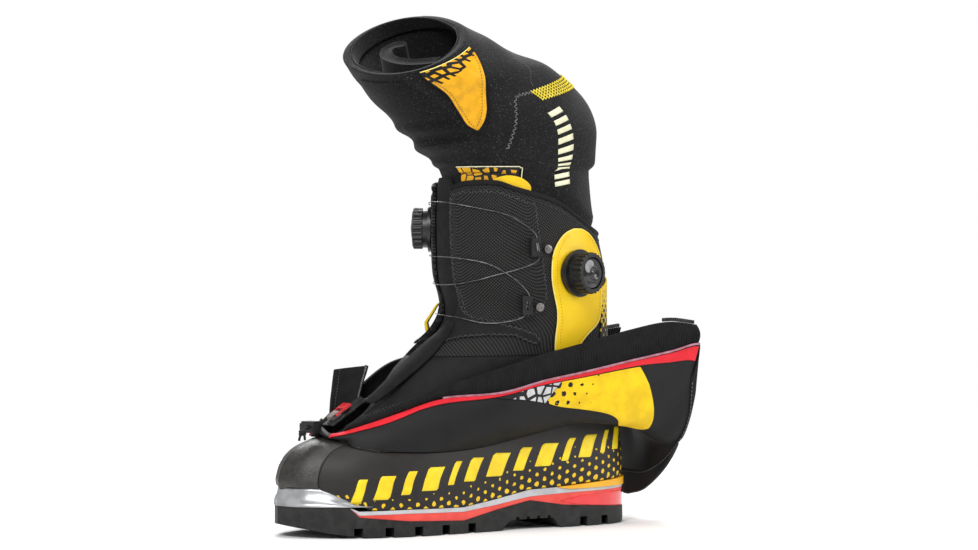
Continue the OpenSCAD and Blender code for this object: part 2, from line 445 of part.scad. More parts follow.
// drawcord from the lock over the toe cap
CORD = [[-209, 11, 90], [-213, 5.5, 88.6], [-219, -1.9, 85.9], [-225, -5, 85.5],
  [-231, -8, 85.2], [-234.5, -10.2, 83.8], [-237, -11.8, 81.4]];
module drawcord() color([0.05, 0.05, 0.05]) tube(smooth(CORD, 40), 2.4);
lock_pos = [-225, -5, 85.5];
lock_dir = 26;
module at_lock() translate(lock_pos) rotate([0, 0, lock_dir]) children();
module cord_lock_body() color([0.06, 0.06, 0.06]) at_lock() difference() {
  translate([-5, -4.6, -4.6]) cube([10, 12, 9.2]);
  rotate([0, 90, 0]) cylinder(d = 3.4, h = 20, center = true, $fn = 32);
  translate([-3.5, 1, -3.1]) cube([7, 8, 6.2]);
}
module cord_lock_button() color([0.1, 0.1, 0.1]) at_lock()
  translate([-3.3, 3.6, -2.9]) cube([6.6, 7, 5.8]);

// liner: foot part inside the shell, shaft bent forwards above the cuff
function linset(p, z) = let (c = tab(CUFF, fold(p))[1]) 7.4 - 3.6 * ease(92, 112, fold(p))
  * ease(120, 150, z) - 3.2 * ease(100, 125, fold(p)) * ease(c + 6, c + 16, z);
function linerp(p, j, f) = j <= 17 ? let (a = low(p) + 11, z = a + (286 - a) * j / 17)
  S(p, z, linset(p, z) + f) : L(p, (j - 17) * 7 / 11, f);
module liner() color([0.2, 0.2, 0.21]) wall(
  [for (j = [0:28]) [for (p = ringp(40)) linerp(p, j, 0)]],
  [for (j = [0:28]) [for (p = ringp(40)) linerp(p, j, liner_t)]], true);
module liner_sole() color([0.17, 0.17, 0.18]) plate(16.5, 6, 4.5, -196, 42);
// strap hanging from the collar: first and last angle by ring number
UST = [[2.6, 56, 59.5], [2.9, 54, 65], [3.3, 54.5, 71], [4, 58, 81], [4.9, 64, 95],
  [5.6, 66, 106], [6.3, 67, 120], [6.8, 70, 128]];
module lpatch(ts, A, B, n, o0, o1)
  wall([for (i = [0:len(ts) - 1]) [for (a = steps(A[i], B[i], n)) L(a, ts[i], -o1)]],
    [for (i = [0:len(ts) - 1]) [for (a = steps(A[i], B[i], n)) L(a, ts[i], -o0)]]);
module liner_loop_pad() color([0.16, 0.16, 0.16]) let (ts = steps(2.2, 6.4, 8))
  lpatch(ts, [for (t = ts) 6], [for (t = ts) 50], 6, 0.5, 1.5);
module strap(o0, o1, d, a, b) let (ts = steps(a, b, 10))
  lpatch(ts, [for (t = ts) tab(UST, t)[1] + d], [for (t = ts) tab(UST, t)[2] - d], 8, o0, o1);
module liner_strap_upper() color([0.17, 0.17, 0.18]) strap(0.8, 2.6, 0, 2.6, 6.8);
module liner_strap_patch() color([0.95, 0.65, 0.1]) strap(2.9, 3.9, 1, 2.66, 6.72);
function lowerp(p, j, o) = j < 4 ? S(p, 268.5 + j * 17.5 / 3, 7.4 - o)
  : let (u = (j - 3) / 4) (1 - u) * S(p, 286, 7.4 - o) + u * L(p, 7 / 11, -o);
module liner_strap_lower() color([0.12, 0.12, 0.12]) let (ps = steps(23, 74, 14))
  wall([for (j = [0:6]) [for (p = ps) lowerp(p, j, 2)]],
    [for (j = [0:6]) [for (p = ps) lowerp(p, j, 0.4)]]);
module liner_strap_end() color([0.93, 0.7, 0.12]) let (ps = steps(49, 83, 16))
  skin(ps, steps(0, 1, 4), 3.4, 5.1, false, [for (p = ps) 262],
    [for (p = ps) 274 + 12 * sqrt(1 - pow((p - 66) / 17.5, 2))]);
module liner_lining_roll() color([0.1, 0.1, 0.11]) let (ps = ringp(40))
  wall([for (t = [6.55, 7]) [for (p = ps) L(p, t, liner_t + 0.3)]],
    [for (t = [6.55, 7]) [for (p = ps) L(p, t, liner_t + 2.3)]], true);

outsole();
midsole();
heel_insert();
sole_band();
heel_welt();
toe_welt();
shank();
lasting_board();
footbed();
rand();
toe_cap();
lower_shell();
quarters();
tongue();
cuff_trim();
mesh_panels();
instep_overlay();
rear_strip();
dial_plate_lateral();
dial_base_lateral();
dial_spool_lateral();
dial_spindle_lateral();
dial_knob_lateral();
dial_cap_lateral();
dial_base_medial();
dial_spool_medial();
dial_spindle_medial();
dial_knob_medial();
dial_cap_medial();
lace_guides();
guide_rivets();
lace_wire_upper();
lace_wire_lower();
instep_strap();
pull_tab();
gaiter();
zip_band();
zip_lining();
zip_teeth();
side_patch();
pebble_panel();
hem_binding();
toe_zip_flap();
toe_zip_chain();
zip_slider();
zip_pull();
drawcord();
cord_lock_body();
cord_lock_button();
liner();
liner_sole();
liner_strap_upper();
liner_strap_patch();
liner_strap_lower();
liner_strap_end();
liner_loop_pad();
liner_lining_roll();
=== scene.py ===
import bpy
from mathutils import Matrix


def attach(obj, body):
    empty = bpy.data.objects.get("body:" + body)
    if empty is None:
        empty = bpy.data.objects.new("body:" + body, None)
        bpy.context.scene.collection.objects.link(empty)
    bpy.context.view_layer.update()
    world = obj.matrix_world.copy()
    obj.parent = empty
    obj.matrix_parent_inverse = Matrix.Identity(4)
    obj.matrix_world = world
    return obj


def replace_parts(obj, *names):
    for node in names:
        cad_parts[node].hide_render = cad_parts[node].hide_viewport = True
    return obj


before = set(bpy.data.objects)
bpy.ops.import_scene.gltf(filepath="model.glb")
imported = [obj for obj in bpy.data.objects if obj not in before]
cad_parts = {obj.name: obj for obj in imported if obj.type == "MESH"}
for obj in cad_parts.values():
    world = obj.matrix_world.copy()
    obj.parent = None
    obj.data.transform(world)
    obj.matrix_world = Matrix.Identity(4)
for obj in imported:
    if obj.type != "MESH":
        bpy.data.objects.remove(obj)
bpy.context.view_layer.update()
import bpy, bmesh, math
import numpy as np
from mathutils import Vector

lin, cat, stack, norm = np.linspace, np.concatenate, np.stack, np.linalg.norm
sin, cos, pi = np.sin, np.cos, np.pi
T = lambda text: np.array([row.split() for row in text.split(",")], float)
# shape tables in millimetres, as in part.scad
LAT = T("""0 0, 0.02 16, 0.06 28, 0.13 42, 0.22 51, 0.32 54, 0.45 50, 0.6 44.5, 0.75 43, 0.88 40,
0.95 31, 0.985 18, 1 0""")
MED = T("""0 0, 0.02 18, 0.06 31, 0.13 43, 0.22 52, 0.32 51, 0.45 43, 0.6 36, 0.75 37.5, 0.88 37.5,
0.95 30, 0.985 18, 1 0""")
PROF = T("""36 -250 60 0 1 48, 45 -251 61 0 1 48, 58 -246 61 0 0.97 47.6, 68 -235 60 0.02 0.93 47.3,
76 -215 59 0.06 0.9 47, 86 -195 57 0.12 0.88 46.6, 100 -174 54 0.25 0.9 46.2, 128 -148 50 0.55 0.95 46,
147 -128 47.5 0.8 0.98 46.4, 162 -110 46 0.95 1 47, 180 -101 45 1 1 49, 206 -107 44 1 1 52,
240 -109 37 1 1 50, 262 -109 32 1 1 49, 290 -108 29 1 1 48""")
RTOP = T("0 77, 12 76.5, 34 70.7, 51 66.8, 70 65.3, 88 67.9, 105 76.8, 127 87.6, 152 90.5, 180 92")
CUFF = T("0 275, 12 273, 30 277, 56 277.5, 71 272.5, 95 265, 106 260, 125 248, 143 240, 180 236")
LIN = T("""0 -101 290 28 290 42 0, 1 -110 297 35 301 43 0, 2 -124 308 38 330 46 0,
3 -138 321 22 356 49 2, 4 -151 333 -12 380 51 5, 5 -165 345 -40 390 52 9, 6 -178 358 -66 401 52 14,
7 -189 371 -91 412 51 19""")
EDGE = T("""0 -214 0 84, 15 -211 -17 79, 30 -191 -30 86, 45 -160 -38 97, 60 -130 -46 107, 75 -86 -60 111,
90 -47 -65 121, 105 -8 -66 128, 120 35 -65 136, 135 75 -63 143, 149 106 -60 149, 153 106 -60 140,
158 102 -60 111, 164 94 -56 78, 170 86 -44 48, 175 76 -25 27, 180 73 0 20""")
BULGE = T("""0 -222 0 82, 15 -220 -20 76, 30 -203 -37 77, 45 -178 -50 77, 60 -150 -57 78, 75 -118 -61 80,
90 -80 -63 83, 105 -40 -64 84, 120 8 -67 78, 135 45 -68 64, 150 74 -65 48, 160 84 -58 42, 170 90 -38 64,
180 94 0 90""")
BAND = T("""20 -203 -20 86, 30 -187 -26 95, 45 -164 -35 104, 60 -133 -44 115, 75 -86 -56 130,
90 -47 -59 141, 105 -8 -60 150, 120 35 -60 160, 135 75 -58 166.5, 149 105 -57 164""")
BAND_IN = T("""20 -203 -20 86, 30 -188 -26 98, 45 -162 -36 115, 60 -128 -44 134, 75 -84 -54 141,
90 -47 -58 143, 105 -8 -60 147, 120 35 -60 152, 135 75 -59 156, 149 105 -58 160""")
PVA = T("""97.5 0.7, 104.5 0.61, 115 0.53, 123.5 0.47, 128.5 0.4, 134 0.27, 140 0.215, 145 0.22,
148 0.27""")
PVB = T("97.5 0.935, 124.5 0.935, 131 0.8, 137 0.65, 143 0.5, 148 0.36")
RED = T("14 0.6, 25 0.72, 40 0.82, 52 0.9, 74 0.945, 125 0.945, 149 0.92")
MLO = T("19 196, 22 180, 30 173, 39 170, 57 168, 70 172, 78 176, 84 186")
MHI = T("19 270, 30 272, 57 272, 71 267, 84 262")
PLA = T("""143 101 117, 150 99 118, 158 96.5 123, 165 95 131, 172 93.5 135, 190 89.5 136, 205 89 137,
222 92 139, 233 98 134, 240 105 127, 243 112 120""")
WU = T("""331 263 2.2, 347 265 2.2, 376 264 2.2, 404 259 2.3, 423 254 2.4, 433 247 3.2, 439 240 4.8,
440.5 234 5.1, 440.5 228 5.1, 440.5 222 5.1, 438 216 4.6, 426 210 2.8, 410 205 2.3, 396 201 2.3,
376 198 2.3, 350 198 2.3, 330 200 2.3""")
WM = T("""334 222 2, 346 221 2, 375 220 2.2, 398 217 3.4, 410 213 4.2, 418 207 4.4, 425 200 4,
430 192 4.8, 431.5 187 5.1, 431.5 181 5.1, 431.5 175 5.1, 428 170 4.4, 416 167 2.6, 403 167 2, 383 171 2,
360 173 2, 340 174 2""")
STR = T("103 -16 12, 116 0 18, 129 6 24, 143 8 27, 156 10 25, 168 12 20")
UST = T("""2.6 56 59.5, 2.9 54 65, 3.3 54.5 71, 4 58 81, 4.9 64 95, 5.6 66 106, 6.3 67 120,
6.8 70 128""")
GUIDE = T("79 228, 70 181, 290 228, 290 181")
CORD = T("""-209 11 90, -213 5.5 88.6, -219 -1.9 85.9, -225 -5 85.5, -231 -8 85.2, -234.5 -10.2 83.8,
-237 -11.8 81.4""")
# lengths of the pieces of a polyline, and the length along it
steps = lambda P, ax=0: norm(np.diff(P, axis=ax), axis=-1)
along = lambda P: cat([[0], np.cumsum(steps(P))])
sind = lambda a: sin(np.radians(a))
cosd = lambda a: cos(np.radians(a))


def tab(t, x):
    """Smooth curve through the rows of a table, for an array of keys; key column first."""
    x = np.clip(np.asarray(x, float), t[0, 0], t[-1, 0])
    n = len(t)
    i = np.clip(np.searchsorted(t[:, 0], x, side="right") - 1, 0, n - 2)
    a = np.maximum(np.arange(n) - 1, 0)
    b = np.minimum(np.arange(n) + 1, n - 1)
    m = (t[b] - t[a]) / (t[b, 0] - t[a, 0])[:, None]
    h = (t[i + 1, 0] - t[i, 0])[..., None]
    s = (x[..., None] - t[i, 0][..., None]) / h
    c = s * s * (3 - 2 * s)
    return ((1 - c) * t[i] + c * t[i + 1] + s * (1 - s) ** 2 * h * m[i]
            - s * s * (1 - s) * h * m[i + 1])


def ease(a, b, x):
    t = np.clip((np.asarray(x, float) - a) / (b - a), 0, 1)
    return t * t * (3 - 2 * t)


def fold(p):
    a = np.abs(p) % 360
    return np.where(a > 180, 360 - a, a)


def S(p, z, f=0.0):
    """Boot surface at angle p (degrees) and height z, moved inwards by f."""
    p, z, f = np.broadcast_arrays(np.asarray(p, float), np.asarray(z, float), np.asarray(f, float))
    P = tab(PROF, z + f)
    u = (1 - cosd(p)) / 2
    lat = sind(p) >= 0
    w = np.where(lat, tab(LAT, u)[..., 1], tab(MED, u)[..., 1]).clip(0) * P[..., 4]
    e = P[..., 5] * np.abs(sind(p)) ** 0.92
    k = P[..., 3]
    y = w * (1 - k) + e * k
    m = 54 * P[..., 4] * (1 - k) + P[..., 5] * k
    x = P[..., 1] + f + u * (P[..., 2] - P[..., 1] - 2 * f)
    return stack([x, np.where(lat, -1, 1) * y * (m - f) / m, z], -1)


def folds(p, t):
    """Soft folds of the bent liner: deep at the front of the bend, none at cuff and collar."""
    a = fold(p)
    m = ease(0.2, 0.8, t) * (1 - ease(6.0, 6.7, t))
    front = 1 - ease(30, 95, a)
    d = front * (1.5 * sin(5.2 * t + 0.02 * a + 0.6) * (1 - ease(2.6, 4.2, t)))
    d += 0.9 * sin(2.1 * t + a / 17) * ease(40, 80, a) + 0.5 * sin(3.7 * t - a / 9 + 1)
    d += 1.1 * np.exp(-((t - 3.7) / 0.35) ** 2) * ease(85, 110, a) * (1 - ease(140, 170, a))
    return d * m


def L(p, t, f=0.0):
    """Liner surface above the cuff: angle p, ring number t, moved inwards by f."""
    p, t, f = np.broadcast_arrays(np.asarray(p, float), np.asarray(t, float), np.asarray(f, float))
    f = f + folds(p, t) * (f < 6)
    R = tab(LIN, t)
    g = f / 60
    c = stack([(R[..., 1] + R[..., 3]) / 2, 0 * g, (R[..., 2] + R[..., 4]) / 2], -1)
    d = stack([(R[..., 3] - R[..., 1]) / 2, 0 * g, (R[..., 4] - R[..., 2]) / 2], -1)
    y = -(R[..., 5] - f) * np.sign(sind(p)) * np.abs(sind(p)) ** 0.92
    return c - d * (cosd(p) * (1 - g))[..., None] + stack([0 * g, y, -R[..., 6] * sind(p)], -1)


def G0(p, v):
    """Gaiter's middle surface without creases: from the rand over the bulge to the free edge."""
    p, v = np.broadcast_arrays(np.asarray(p, float), np.asarray(v, float))
    a = fold(p)
    s = np.where(sind(p) >= 0, 1, -1)
    B = S(a, tab(RTOP, a)[..., 1] + 0.8 + 1.6 * (1 - ease(26, 36, a)), -0.6)
    M = tab(BULGE, a)[..., 1:]
    E = tab(EDGE, a)[..., 1:]
    q = stack([np.ones_like(p), s, np.ones_like(p)], -1)
    v = v[..., None]
    return ((1 - v) ** 2 * B + 2 * v * (1 - v) * M + v * v * E) * q


def creases(p, v):
    """Soft folds of the folded gaiter, nothing at its edges."""
    a = fold(p)
    m = np.clip(np.minimum(v, 1 - v) / 0.18, 0, 1)
    w = 0.9 * sin(a / 7.0 + 5 * v + 1.3 * sin(a / 19)) * ease(60, 100, a)
    w += 0.7 * sin(a / 3.1 - 7 * v) * ease(130, 160, a)
    w += 0.5 * sin(a / 4.3 + 9 * v * v + 2) * ease(20, 50, a) * (1 - ease(80, 110, a))
    return w * m


def G(p, v, o=0.0):
    """Gaiter surface: angle p, share v from the rand to the free edge, moved outwards by o."""
    p, v, o = np.broadcast_arrays(np.asarray(p, float), np.asarray(v, float), np.asarray(o, float))
    du = G0(p + 0.5, v) - G0(p - 0.5, v)
    dv = G0(p, v + 0.01) - G0(p, v - 0.01)
    n = np.cross(du, dv)
    n /= norm(n, axis=-1, keepdims=True).clip(1e-9)
    return G0(p, v) + (o + creases(p, v))[..., None] * n


# ---------------------------------------------------------------- mesh building
def mesh(name, co, faces, material, body="boot", pat=None):
    """Object from points in mm and faces, riding on a body; pat is its pattern's coordinates."""
    me = bpy.data.meshes.new(name)
    me.from_pydata((np.asarray(co, float) / 1000).tolist(), [], [list(map(int, f)) for f in faces])
    me.validate()
    if pat is not None:
        at = me.attributes.new("pat", "FLOAT_VECTOR", "POINT")
        at.data.foreach_set("vector", np.asarray(pat, np.float32).ravel())
    ob = bpy.data.objects.new(name, me)
    bpy.context.scene.collection.objects.link(ob)
    bm = bmesh.new()
    bm.from_mesh(me)
    bmesh.ops.recalc_face_normals(bm, faces=bm.faces)
    bm.to_mesh(me)
    bm.free()
    me.polygons.foreach_set("use_smooth", [True] * len(me.polygons))
    me.materials.append(material)
    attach(ob, body)
    return ob


def wall(name, O, I, material, ring=False, body="boot", bevel=0.5, pat=None):
    """Closed shell between two grids of points; O is outside, I inside."""
    nv, nu = O.shape[:2]
    k = nv * nu
    m = nu if ring else nu - 1
    f = []
    for j in range(nv - 1):
        for i in range(m):
            a, b = j * nu + i, j * nu + (i + 1) % nu
            f.append((a, b, b + nu, a + nu))
            f.append((k + a, k + a + nu, k + b + nu, k + b))
    for i in range(m):
        a, b, t = i, (i + 1) % nu, (nv - 1) * nu
        f.append((a, k + a, k + b, b))
        f.append((t + a, t + b, k + t + b, k + t + a))
    if not ring:
        for j in range(nv - 1):
            a, b = j * nu, j * nu + nu - 1
            f.append((a, a + nu, k + a + nu, k + a))
            f.append((b, k + b, k + b + nu, b + nu))
    if pat is None:
        d = lambda P, ax: cat([np.zeros_like(P.take([0], ax)[..., 0]),
                                          np.cumsum(steps(P, ax), axis=ax)], axis=ax)
        pat = stack([d(O, 1), d(O, 0), 0 * O[..., 0]], -1)
    ob = mesh(name, cat([O.reshape(-1, 3), I.reshape(-1, 3)]), f, material, body,
              pat=cat([pat.reshape(-1, 3)] * 2))
    if bevel:
        bv = ob.modifiers.new("edge", "BEVEL")
        bv.width, bv.segments, bv.limit_method, bv.angle_limit = bevel / 1000, 3, "ANGLE", 1.0
    return ob


def skin(name, ps, vs, za, zb, f0, f1, material, **kw):
    """Skin on the boot surface: rows vs from height za(p) to zb(p), offsets f0 out and f1 in."""
    p, v = np.meshgrid(ps, vs)
    z = za(p) + v * (zb(p) - za(p))
    g = lambda f: S(p, z, f(p, z) if callable(f) else f)
    return wall(name, g(f0), g(f1), material, **kw)


def tube(name, P, d, material, n=8, body="boot"):
    """Round cord, wire or piping of diameter d along the points P."""
    P = np.asarray(P, float)
    t = np.gradient(P, axis=0)
    t /= norm(t, axis=1, keepdims=True)
    u = np.cross(t, [0, 0, 1.0])
    bad = norm(u, axis=1) < 0.2
    u[bad] = np.cross(t[bad], [1.0, 0, 0])
    u /= norm(u, axis=1, keepdims=True)
    w = np.cross(t, u)
    a = np.linspace(0, 2 * pi, n, endpoint=False)
    d = np.broadcast_to(np.asarray(d, float), (len(P),))
    co = P[:, None] + d[:, None, None] / 2 * (cos(a)[None, :, None] * u[:, None]
                                              + sin(a)[None, :, None] * w[:, None])
    f = [(i * n + j, i * n + (j + 1) % n, (i + 1) * n + (j + 1) % n, (i + 1) * n + j)
         for i in range(len(P) - 1) for j in range(n)]
    f += [list(range(n))[::-1], list(range((len(P) - 1) * n, len(P) * n))]
    s = along(P)
    pat = stack([np.repeat(s, n), np.tile(a * 1.5, len(P)), np.zeros(len(P) * n)], -1)
    return mesh(name, co.reshape(-1, 3), f, material, body, pat=pat)


def smooth_line(P, n):
    """n points on a smooth curve through the points P."""
    P = np.asarray(P, float)
    t = np.linspace(0, len(P) - 1, n)
    return tab(np.c_[np.arange(len(P)), P], t)[:, 1:]


def resample(P, step):
    """Points every step mm along a polyline."""
    s = along(P)
    q = np.arange(0, s[-1], step)
    return stack([np.interp(q, s, P[:, k]) for k in range(3)], 1)


def stitches(name, lines, material, length=2.2, gap=1.2, d=0.7, zig=0.0, body="boot"):
    """Rows of separate stitches; each line is (points, outward directions)."""
    co, f = [], []
    for P, N in lines:
        s = along(P)
        at = lambda q, A: np.array([np.interp(q, s, A[:, k]) for k in range(3)])
        q, i = 0.0, 0
        while q + length < s[-1]:
            a, b, n = at(q, P), at(q + length, P), at(q + length / 2, N)
            n = n / max(norm(n), 1e-6)
            t = (b - a) / max(norm(b - a), 1e-6)
            w = np.cross(n, t)
            if zig:
                sg = zig if i % 2 else -zig
                a, b = a - w * sg, b + w * sg
                t = (b - a) / norm(b - a)
                w = np.cross(n, t)
            base = len(co)
            e, mid = t * d, (a + b) / 2
            for c, r, up in ((a - e * 0.3, 0.25, -0.5), (a + e * 0.5, 1, 0.1), (mid, 1.1, 0.3),
                             (b - e * 0.5, 1, 0.1), (b + e * 0.3, 0.25, -0.5)):
                for j in range(6):
                    h = math.pi * j / 3
                    co.append(c + n * up * d * 0.6 + d / 2 * r * (math.cos(h) * w + math.sin(h) * n * 0.8))
            for k in range(4):
                for j in range(6):
                    f.append((base + k * 6 + j, base + k * 6 + (j + 1) % 6,
                              base + (k + 1) * 6 + (j + 1) % 6, base + (k + 1) * 6 + j))
            f.append([base + j for j in range(6)][::-1])
            f.append([base + 24 + j for j in range(6)])
            q += length + gap
            i += 1
    return mesh(name, np.array(co), f, material, body)


# boot and liner surfaces with the offset counted outwards
SO = lambda p, z, o: S(p, z, -o)
LO = lambda p, t, o: L(p, t, -o)
# points of a surface and its outward directions, for a row of stitches
line = lambda fn, p, t, o=0.0: (fn(p, t, o), fn(p, t, o + 1) - fn(p, t, o))


# ---------------------------------------------------------------- materials
def nodes_of(name, rough=0.6, metal=0.0, coat=0.0, sheen=0.0, spec=0.5):
    m = bpy.data.materials.new(name)
    m.use_nodes = True
    nt = m.node_tree
    b = nt.nodes["Principled BSDF"]
    b.inputs["Roughness"].default_value = rough
    b.inputs["Metallic"].default_value = metal
    b.inputs["Coat Weight"].default_value = coat
    b.inputs["Coat Roughness"].default_value = 0.15
    b.inputs["Sheen Weight"].default_value = sheen
    b.inputs["Sheen Roughness"].default_value = 0.5
    b.inputs["Specular IOR Level"].default_value = spec
    return m, nt, b


def coord(nt, pat, scale):
    """Coordinates in millimetres: the piece's own pattern, or the object's space."""
    mp = nt.nodes.new("ShaderNodeMapping")
    if pat:
        a = nt.nodes.new("ShaderNodeAttribute")
        a.attribute_name = "pat"
        nt.links.new(a.outputs["Vector"], mp.inputs["Vector"])
        mp.inputs["Scale"].default_value = scale
    else:
        a = nt.nodes.new("ShaderNodeTexCoord")
        nt.links.new(a.outputs["Object"], mp.inputs["Vector"])
        mp.inputs["Scale"].default_value = [1000 * s for s in scale]
    return mp.outputs["Vector"]


def tex(nt, kind, vec, scale=1.0, **kw):
    n = nt.nodes.new("ShaderNodeTex" + kind)
    n.inputs["Scale"].default_value = scale
    nt.links.new(vec, n.inputs["Vector"])
    for k, v in kw.items():
        if k in n.inputs:
            n.inputs[k].default_value = v
        else:
            setattr(n, k, v)
    return n


def mix(nt, fac, a, b):
    n = nt.nodes.new("ShaderNodeMix")
    n.data_type = "RGBA"
    for sock, val in ((n.inputs[0], fac), (n.inputs[6], a), (n.inputs[7], b)):
        if hasattr(val, "links"):
            nt.links.new(val, sock)
        elif sock == n.inputs[0]:
            sock.default_value = val
        else:
            sock.default_value = (*val, 1)
    return n.outputs[2]


def math_(nt, op, a, b=0.0, c=0.0, clamp=False):
    n = nt.nodes.new("ShaderNodeMath")
    n.operation = op
    n.use_clamp = clamp
    for i, v in enumerate((a, b, c)):
        if hasattr(v, "links"):
            nt.links.new(v, n.inputs[i])
        else:
            n.inputs[i].default_value = v
    return n.outputs[0]


def band(nt, v, lo, hi):
    """0 below lo, 1 above hi."""
    n = nt.nodes.new("ShaderNodeMapRange")
    n.interpolation_type = "SMOOTHSTEP"
    nt.links.new(v, n.inputs["Value"])
    n.inputs["From Min"].default_value, n.inputs["From Max"].default_value = lo, hi
    return n.outputs["Result"]


def bump(nt, bsdf, h, strength=0.4, dist=0.5):
    n = nt.nodes.new("ShaderNodeBump")
    n.inputs["Strength"].default_value = strength
    n.inputs["Distance"].default_value = dist / 1000
    nt.links.new(h, n.inputs["Height"])
    nt.links.new(n.outputs["Normal"], bsdf.inputs["Normal"])


def plain(name, c1, c2, rough, size=6.0, grain=0.5, depth=0.15, **kw):
    """Mottled colour over a fine grain, for moulded rubber and plastic."""
    m, nt, b = nodes_of(name, rough, **kw)
    v = coord(nt, False, (1, 1, 1))
    big = tex(nt, "Noise", v, 1 / size, Detail=4.0).outputs["Fac"]
    fine = tex(nt, "Noise", v, 1 / grain, Detail=2.0).outputs["Fac"]
    nt.links.new(mix(nt, band(nt, big, 0.35, 0.65), c1, c2), b.inputs["Base Color"])
    rg = math_(nt, "MULTIPLY_ADD", big, 0.16, rough - 0.08)
    nt.links.new(rg, b.inputs["Roughness"])
    bump(nt, b, fine, 0.35, depth)
    return m


def wave(nt, v, period, axis):
    return tex(nt, "Wave", v, 0.314 / period, wave_type="BANDS", bands_direction=axis).outputs["Fac"]


def cloth(name, c1, c2, rough=0.85, pitch=0.8, depth=0.25, pat=True, sheen=0.05, mottle=8.0, spec=0.2):
    """Plain weave: crossing yarns with a little mottling."""
    m, nt, b = nodes_of(name, rough, sheen=sheen, spec=spec)
    v = coord(nt, pat, (1, 1, 1))
    w = math_(nt, "MAXIMUM", wave(nt, v, pitch, "X"), wave(nt, v, pitch, "Y"))
    big = tex(nt, "Noise", coord(nt, False, (1, 1, 1)), 1 / mottle, Detail=5.0).outputs["Fac"]
    f = math_(nt, "MULTIPLY_ADD", w, 0.35, math_(nt, "MULTIPLY", big, 0.65))
    nt.links.new(mix(nt, band(nt, f, 0.3, 0.75), c1, c2), b.inputs["Base Color"])
    bump(nt, b, w, 0.5, depth)
    return m


def heather(name, c1, c2, c3, rough=0.95, size=0.9):
    m, nt, b = nodes_of(name, rough, sheen=0.12, spec=0.15)
    v = coord(nt, False, (1, 1, 1))
    n1 = tex(nt, "Noise", v, 1 / size, Detail=3.0, Roughness=0.7).outputs["Fac"]
    n2 = tex(nt, "Noise", v, 0.9, Detail=2.0).outputs["Fac"]
    n3 = tex(nt, "Noise", v, 0.06, Detail=3.0).outputs["Fac"]
    a = mix(nt, band(nt, n1, 0.42, 0.62), c1, c2)
    a = mix(nt, band(nt, n2, 0.6, 0.72), a, c3)
    a = mix(nt, math_(nt, "MULTIPLY", band(nt, n3, 0.4, 0.7), 0.35), a, c1)
    nt.links.new(a, b.inputs["Base Color"])
    bump(nt, b, n1, 0.6, 0.35)
    return m


def meshweave(name, c1, c2):
    """Coarse twill mesh: light yarns crossing at a slant over a dark ground."""
    m, nt, b = nodes_of(name, 0.7, sheen=0.05, spec=0.25)
    rot = nt.nodes.new("ShaderNodeVectorRotate")
    rot.rotation_type = "Z_AXIS"
    rot.inputs["Angle"].default_value = math.radians(38)
    nt.links.new(coord(nt, True, (1, 1, 1)), rot.inputs["Vector"])
    v, pitch = rot.outputs["Vector"], 1.9
    h = math_(nt, "MULTIPLY", wave(nt, v, pitch, "X"), wave(nt, v, pitch, "Y"))
    big = tex(nt, "Noise", coord(nt, False, (1, 1, 1)), 0.15, Detail=4.0).outputs["Fac"]
    k = band(nt, math_(nt, "MULTIPLY_ADD", big, 0.2, h), 0.3, 0.75)
    nt.links.new(mix(nt, k, c1, c2), b.inputs["Base Color"])
    bump(nt, b, h, 0.8, 0.5)
    return m


def wrapped(nt, v, a, b_, off):
    """Distance to the nearest point of a grid with pitch a by b_, shifted by off."""
    sh = nt.nodes.new("ShaderNodeVectorMath")
    sh.operation = "ADD"
    nt.links.new(v, sh.inputs[0])
    sh.inputs[1].default_value = off
    w = nt.nodes.new("ShaderNodeVectorMath")
    w.operation = "WRAP"
    nt.links.new(sh.outputs[0], w.inputs[0])
    w.inputs[1].default_value, w.inputs[2].default_value = (a / 2, b_ / 2, 1), (-a / 2, -b_ / 2, -1)
    n = nt.nodes.new("ShaderNodeVectorMath")
    n.operation = "LENGTH"
    nt.links.new(w.outputs[0], n.inputs[0])
    return n.outputs["Value"]


def lattice(name, base, dot, a, b_, rough=0.6, wob=0.9, grain=0.6, depth=0.2, coat=0.0, spec=0.4, size=9.0):
    """Staggered dots, pitch a along and b_ across; the pattern's z is the dot radius in mm."""
    m, nt, b = nodes_of(name, rough, coat=coat, spec=spec)
    v = coord(nt, True, (1, 1, 1))
    sep = nt.nodes.new("ShaderNodeSeparateXYZ")
    nt.links.new(v, sep.inputs[0])
    flat = nt.nodes.new("ShaderNodeCombineXYZ")
    n1 = tex(nt, "Noise", v, 0.35, Detail=1.0)
    n2 = tex(nt, "Noise", v, 0.42, Detail=1.0, Distortion=0.6)
    for k, n in ((0, n1), (1, n2)):
        d = math_(nt, "MULTIPLY_ADD", n.outputs["Fac"], 2 * wob, -wob)
        nt.links.new(math_(nt, "ADD", sep.outputs[k], d), flat.inputs[k])
    d = math_(nt, "MINIMUM", wrapped(nt, flat.outputs[0], a, b_, (0, 0, 0)),
              wrapped(nt, flat.outputs[0], a, b_, (a / 2, b_ / 2, 0)))
    on = band(nt, math_(nt, "SUBTRACT", sep.outputs[2], d), -0.12, 0.12)
    big = tex(nt, "Noise", coord(nt, False, (1, 1, 1)), 1 / size, Detail=5.0).outputs["Fac"]
    c = mix(nt, band(nt, big, 0.35, 0.7), base, tuple(x * 1.25 for x in base))
    c2 = mix(nt, band(nt, big, 0.3, 0.7), dot, tuple(x * 0.86 for x in dot))
    nt.links.new(mix(nt, on, c, c2), b.inputs["Base Color"])
    fine = tex(nt, "Noise", coord(nt, False, (1, 1, 1)), 1 / grain, Detail=2.0).outputs["Fac"]
    bump(nt, b, math_(nt, "MULTIPLY_ADD", on, 0.6, fine), 0.5, depth)
    return m


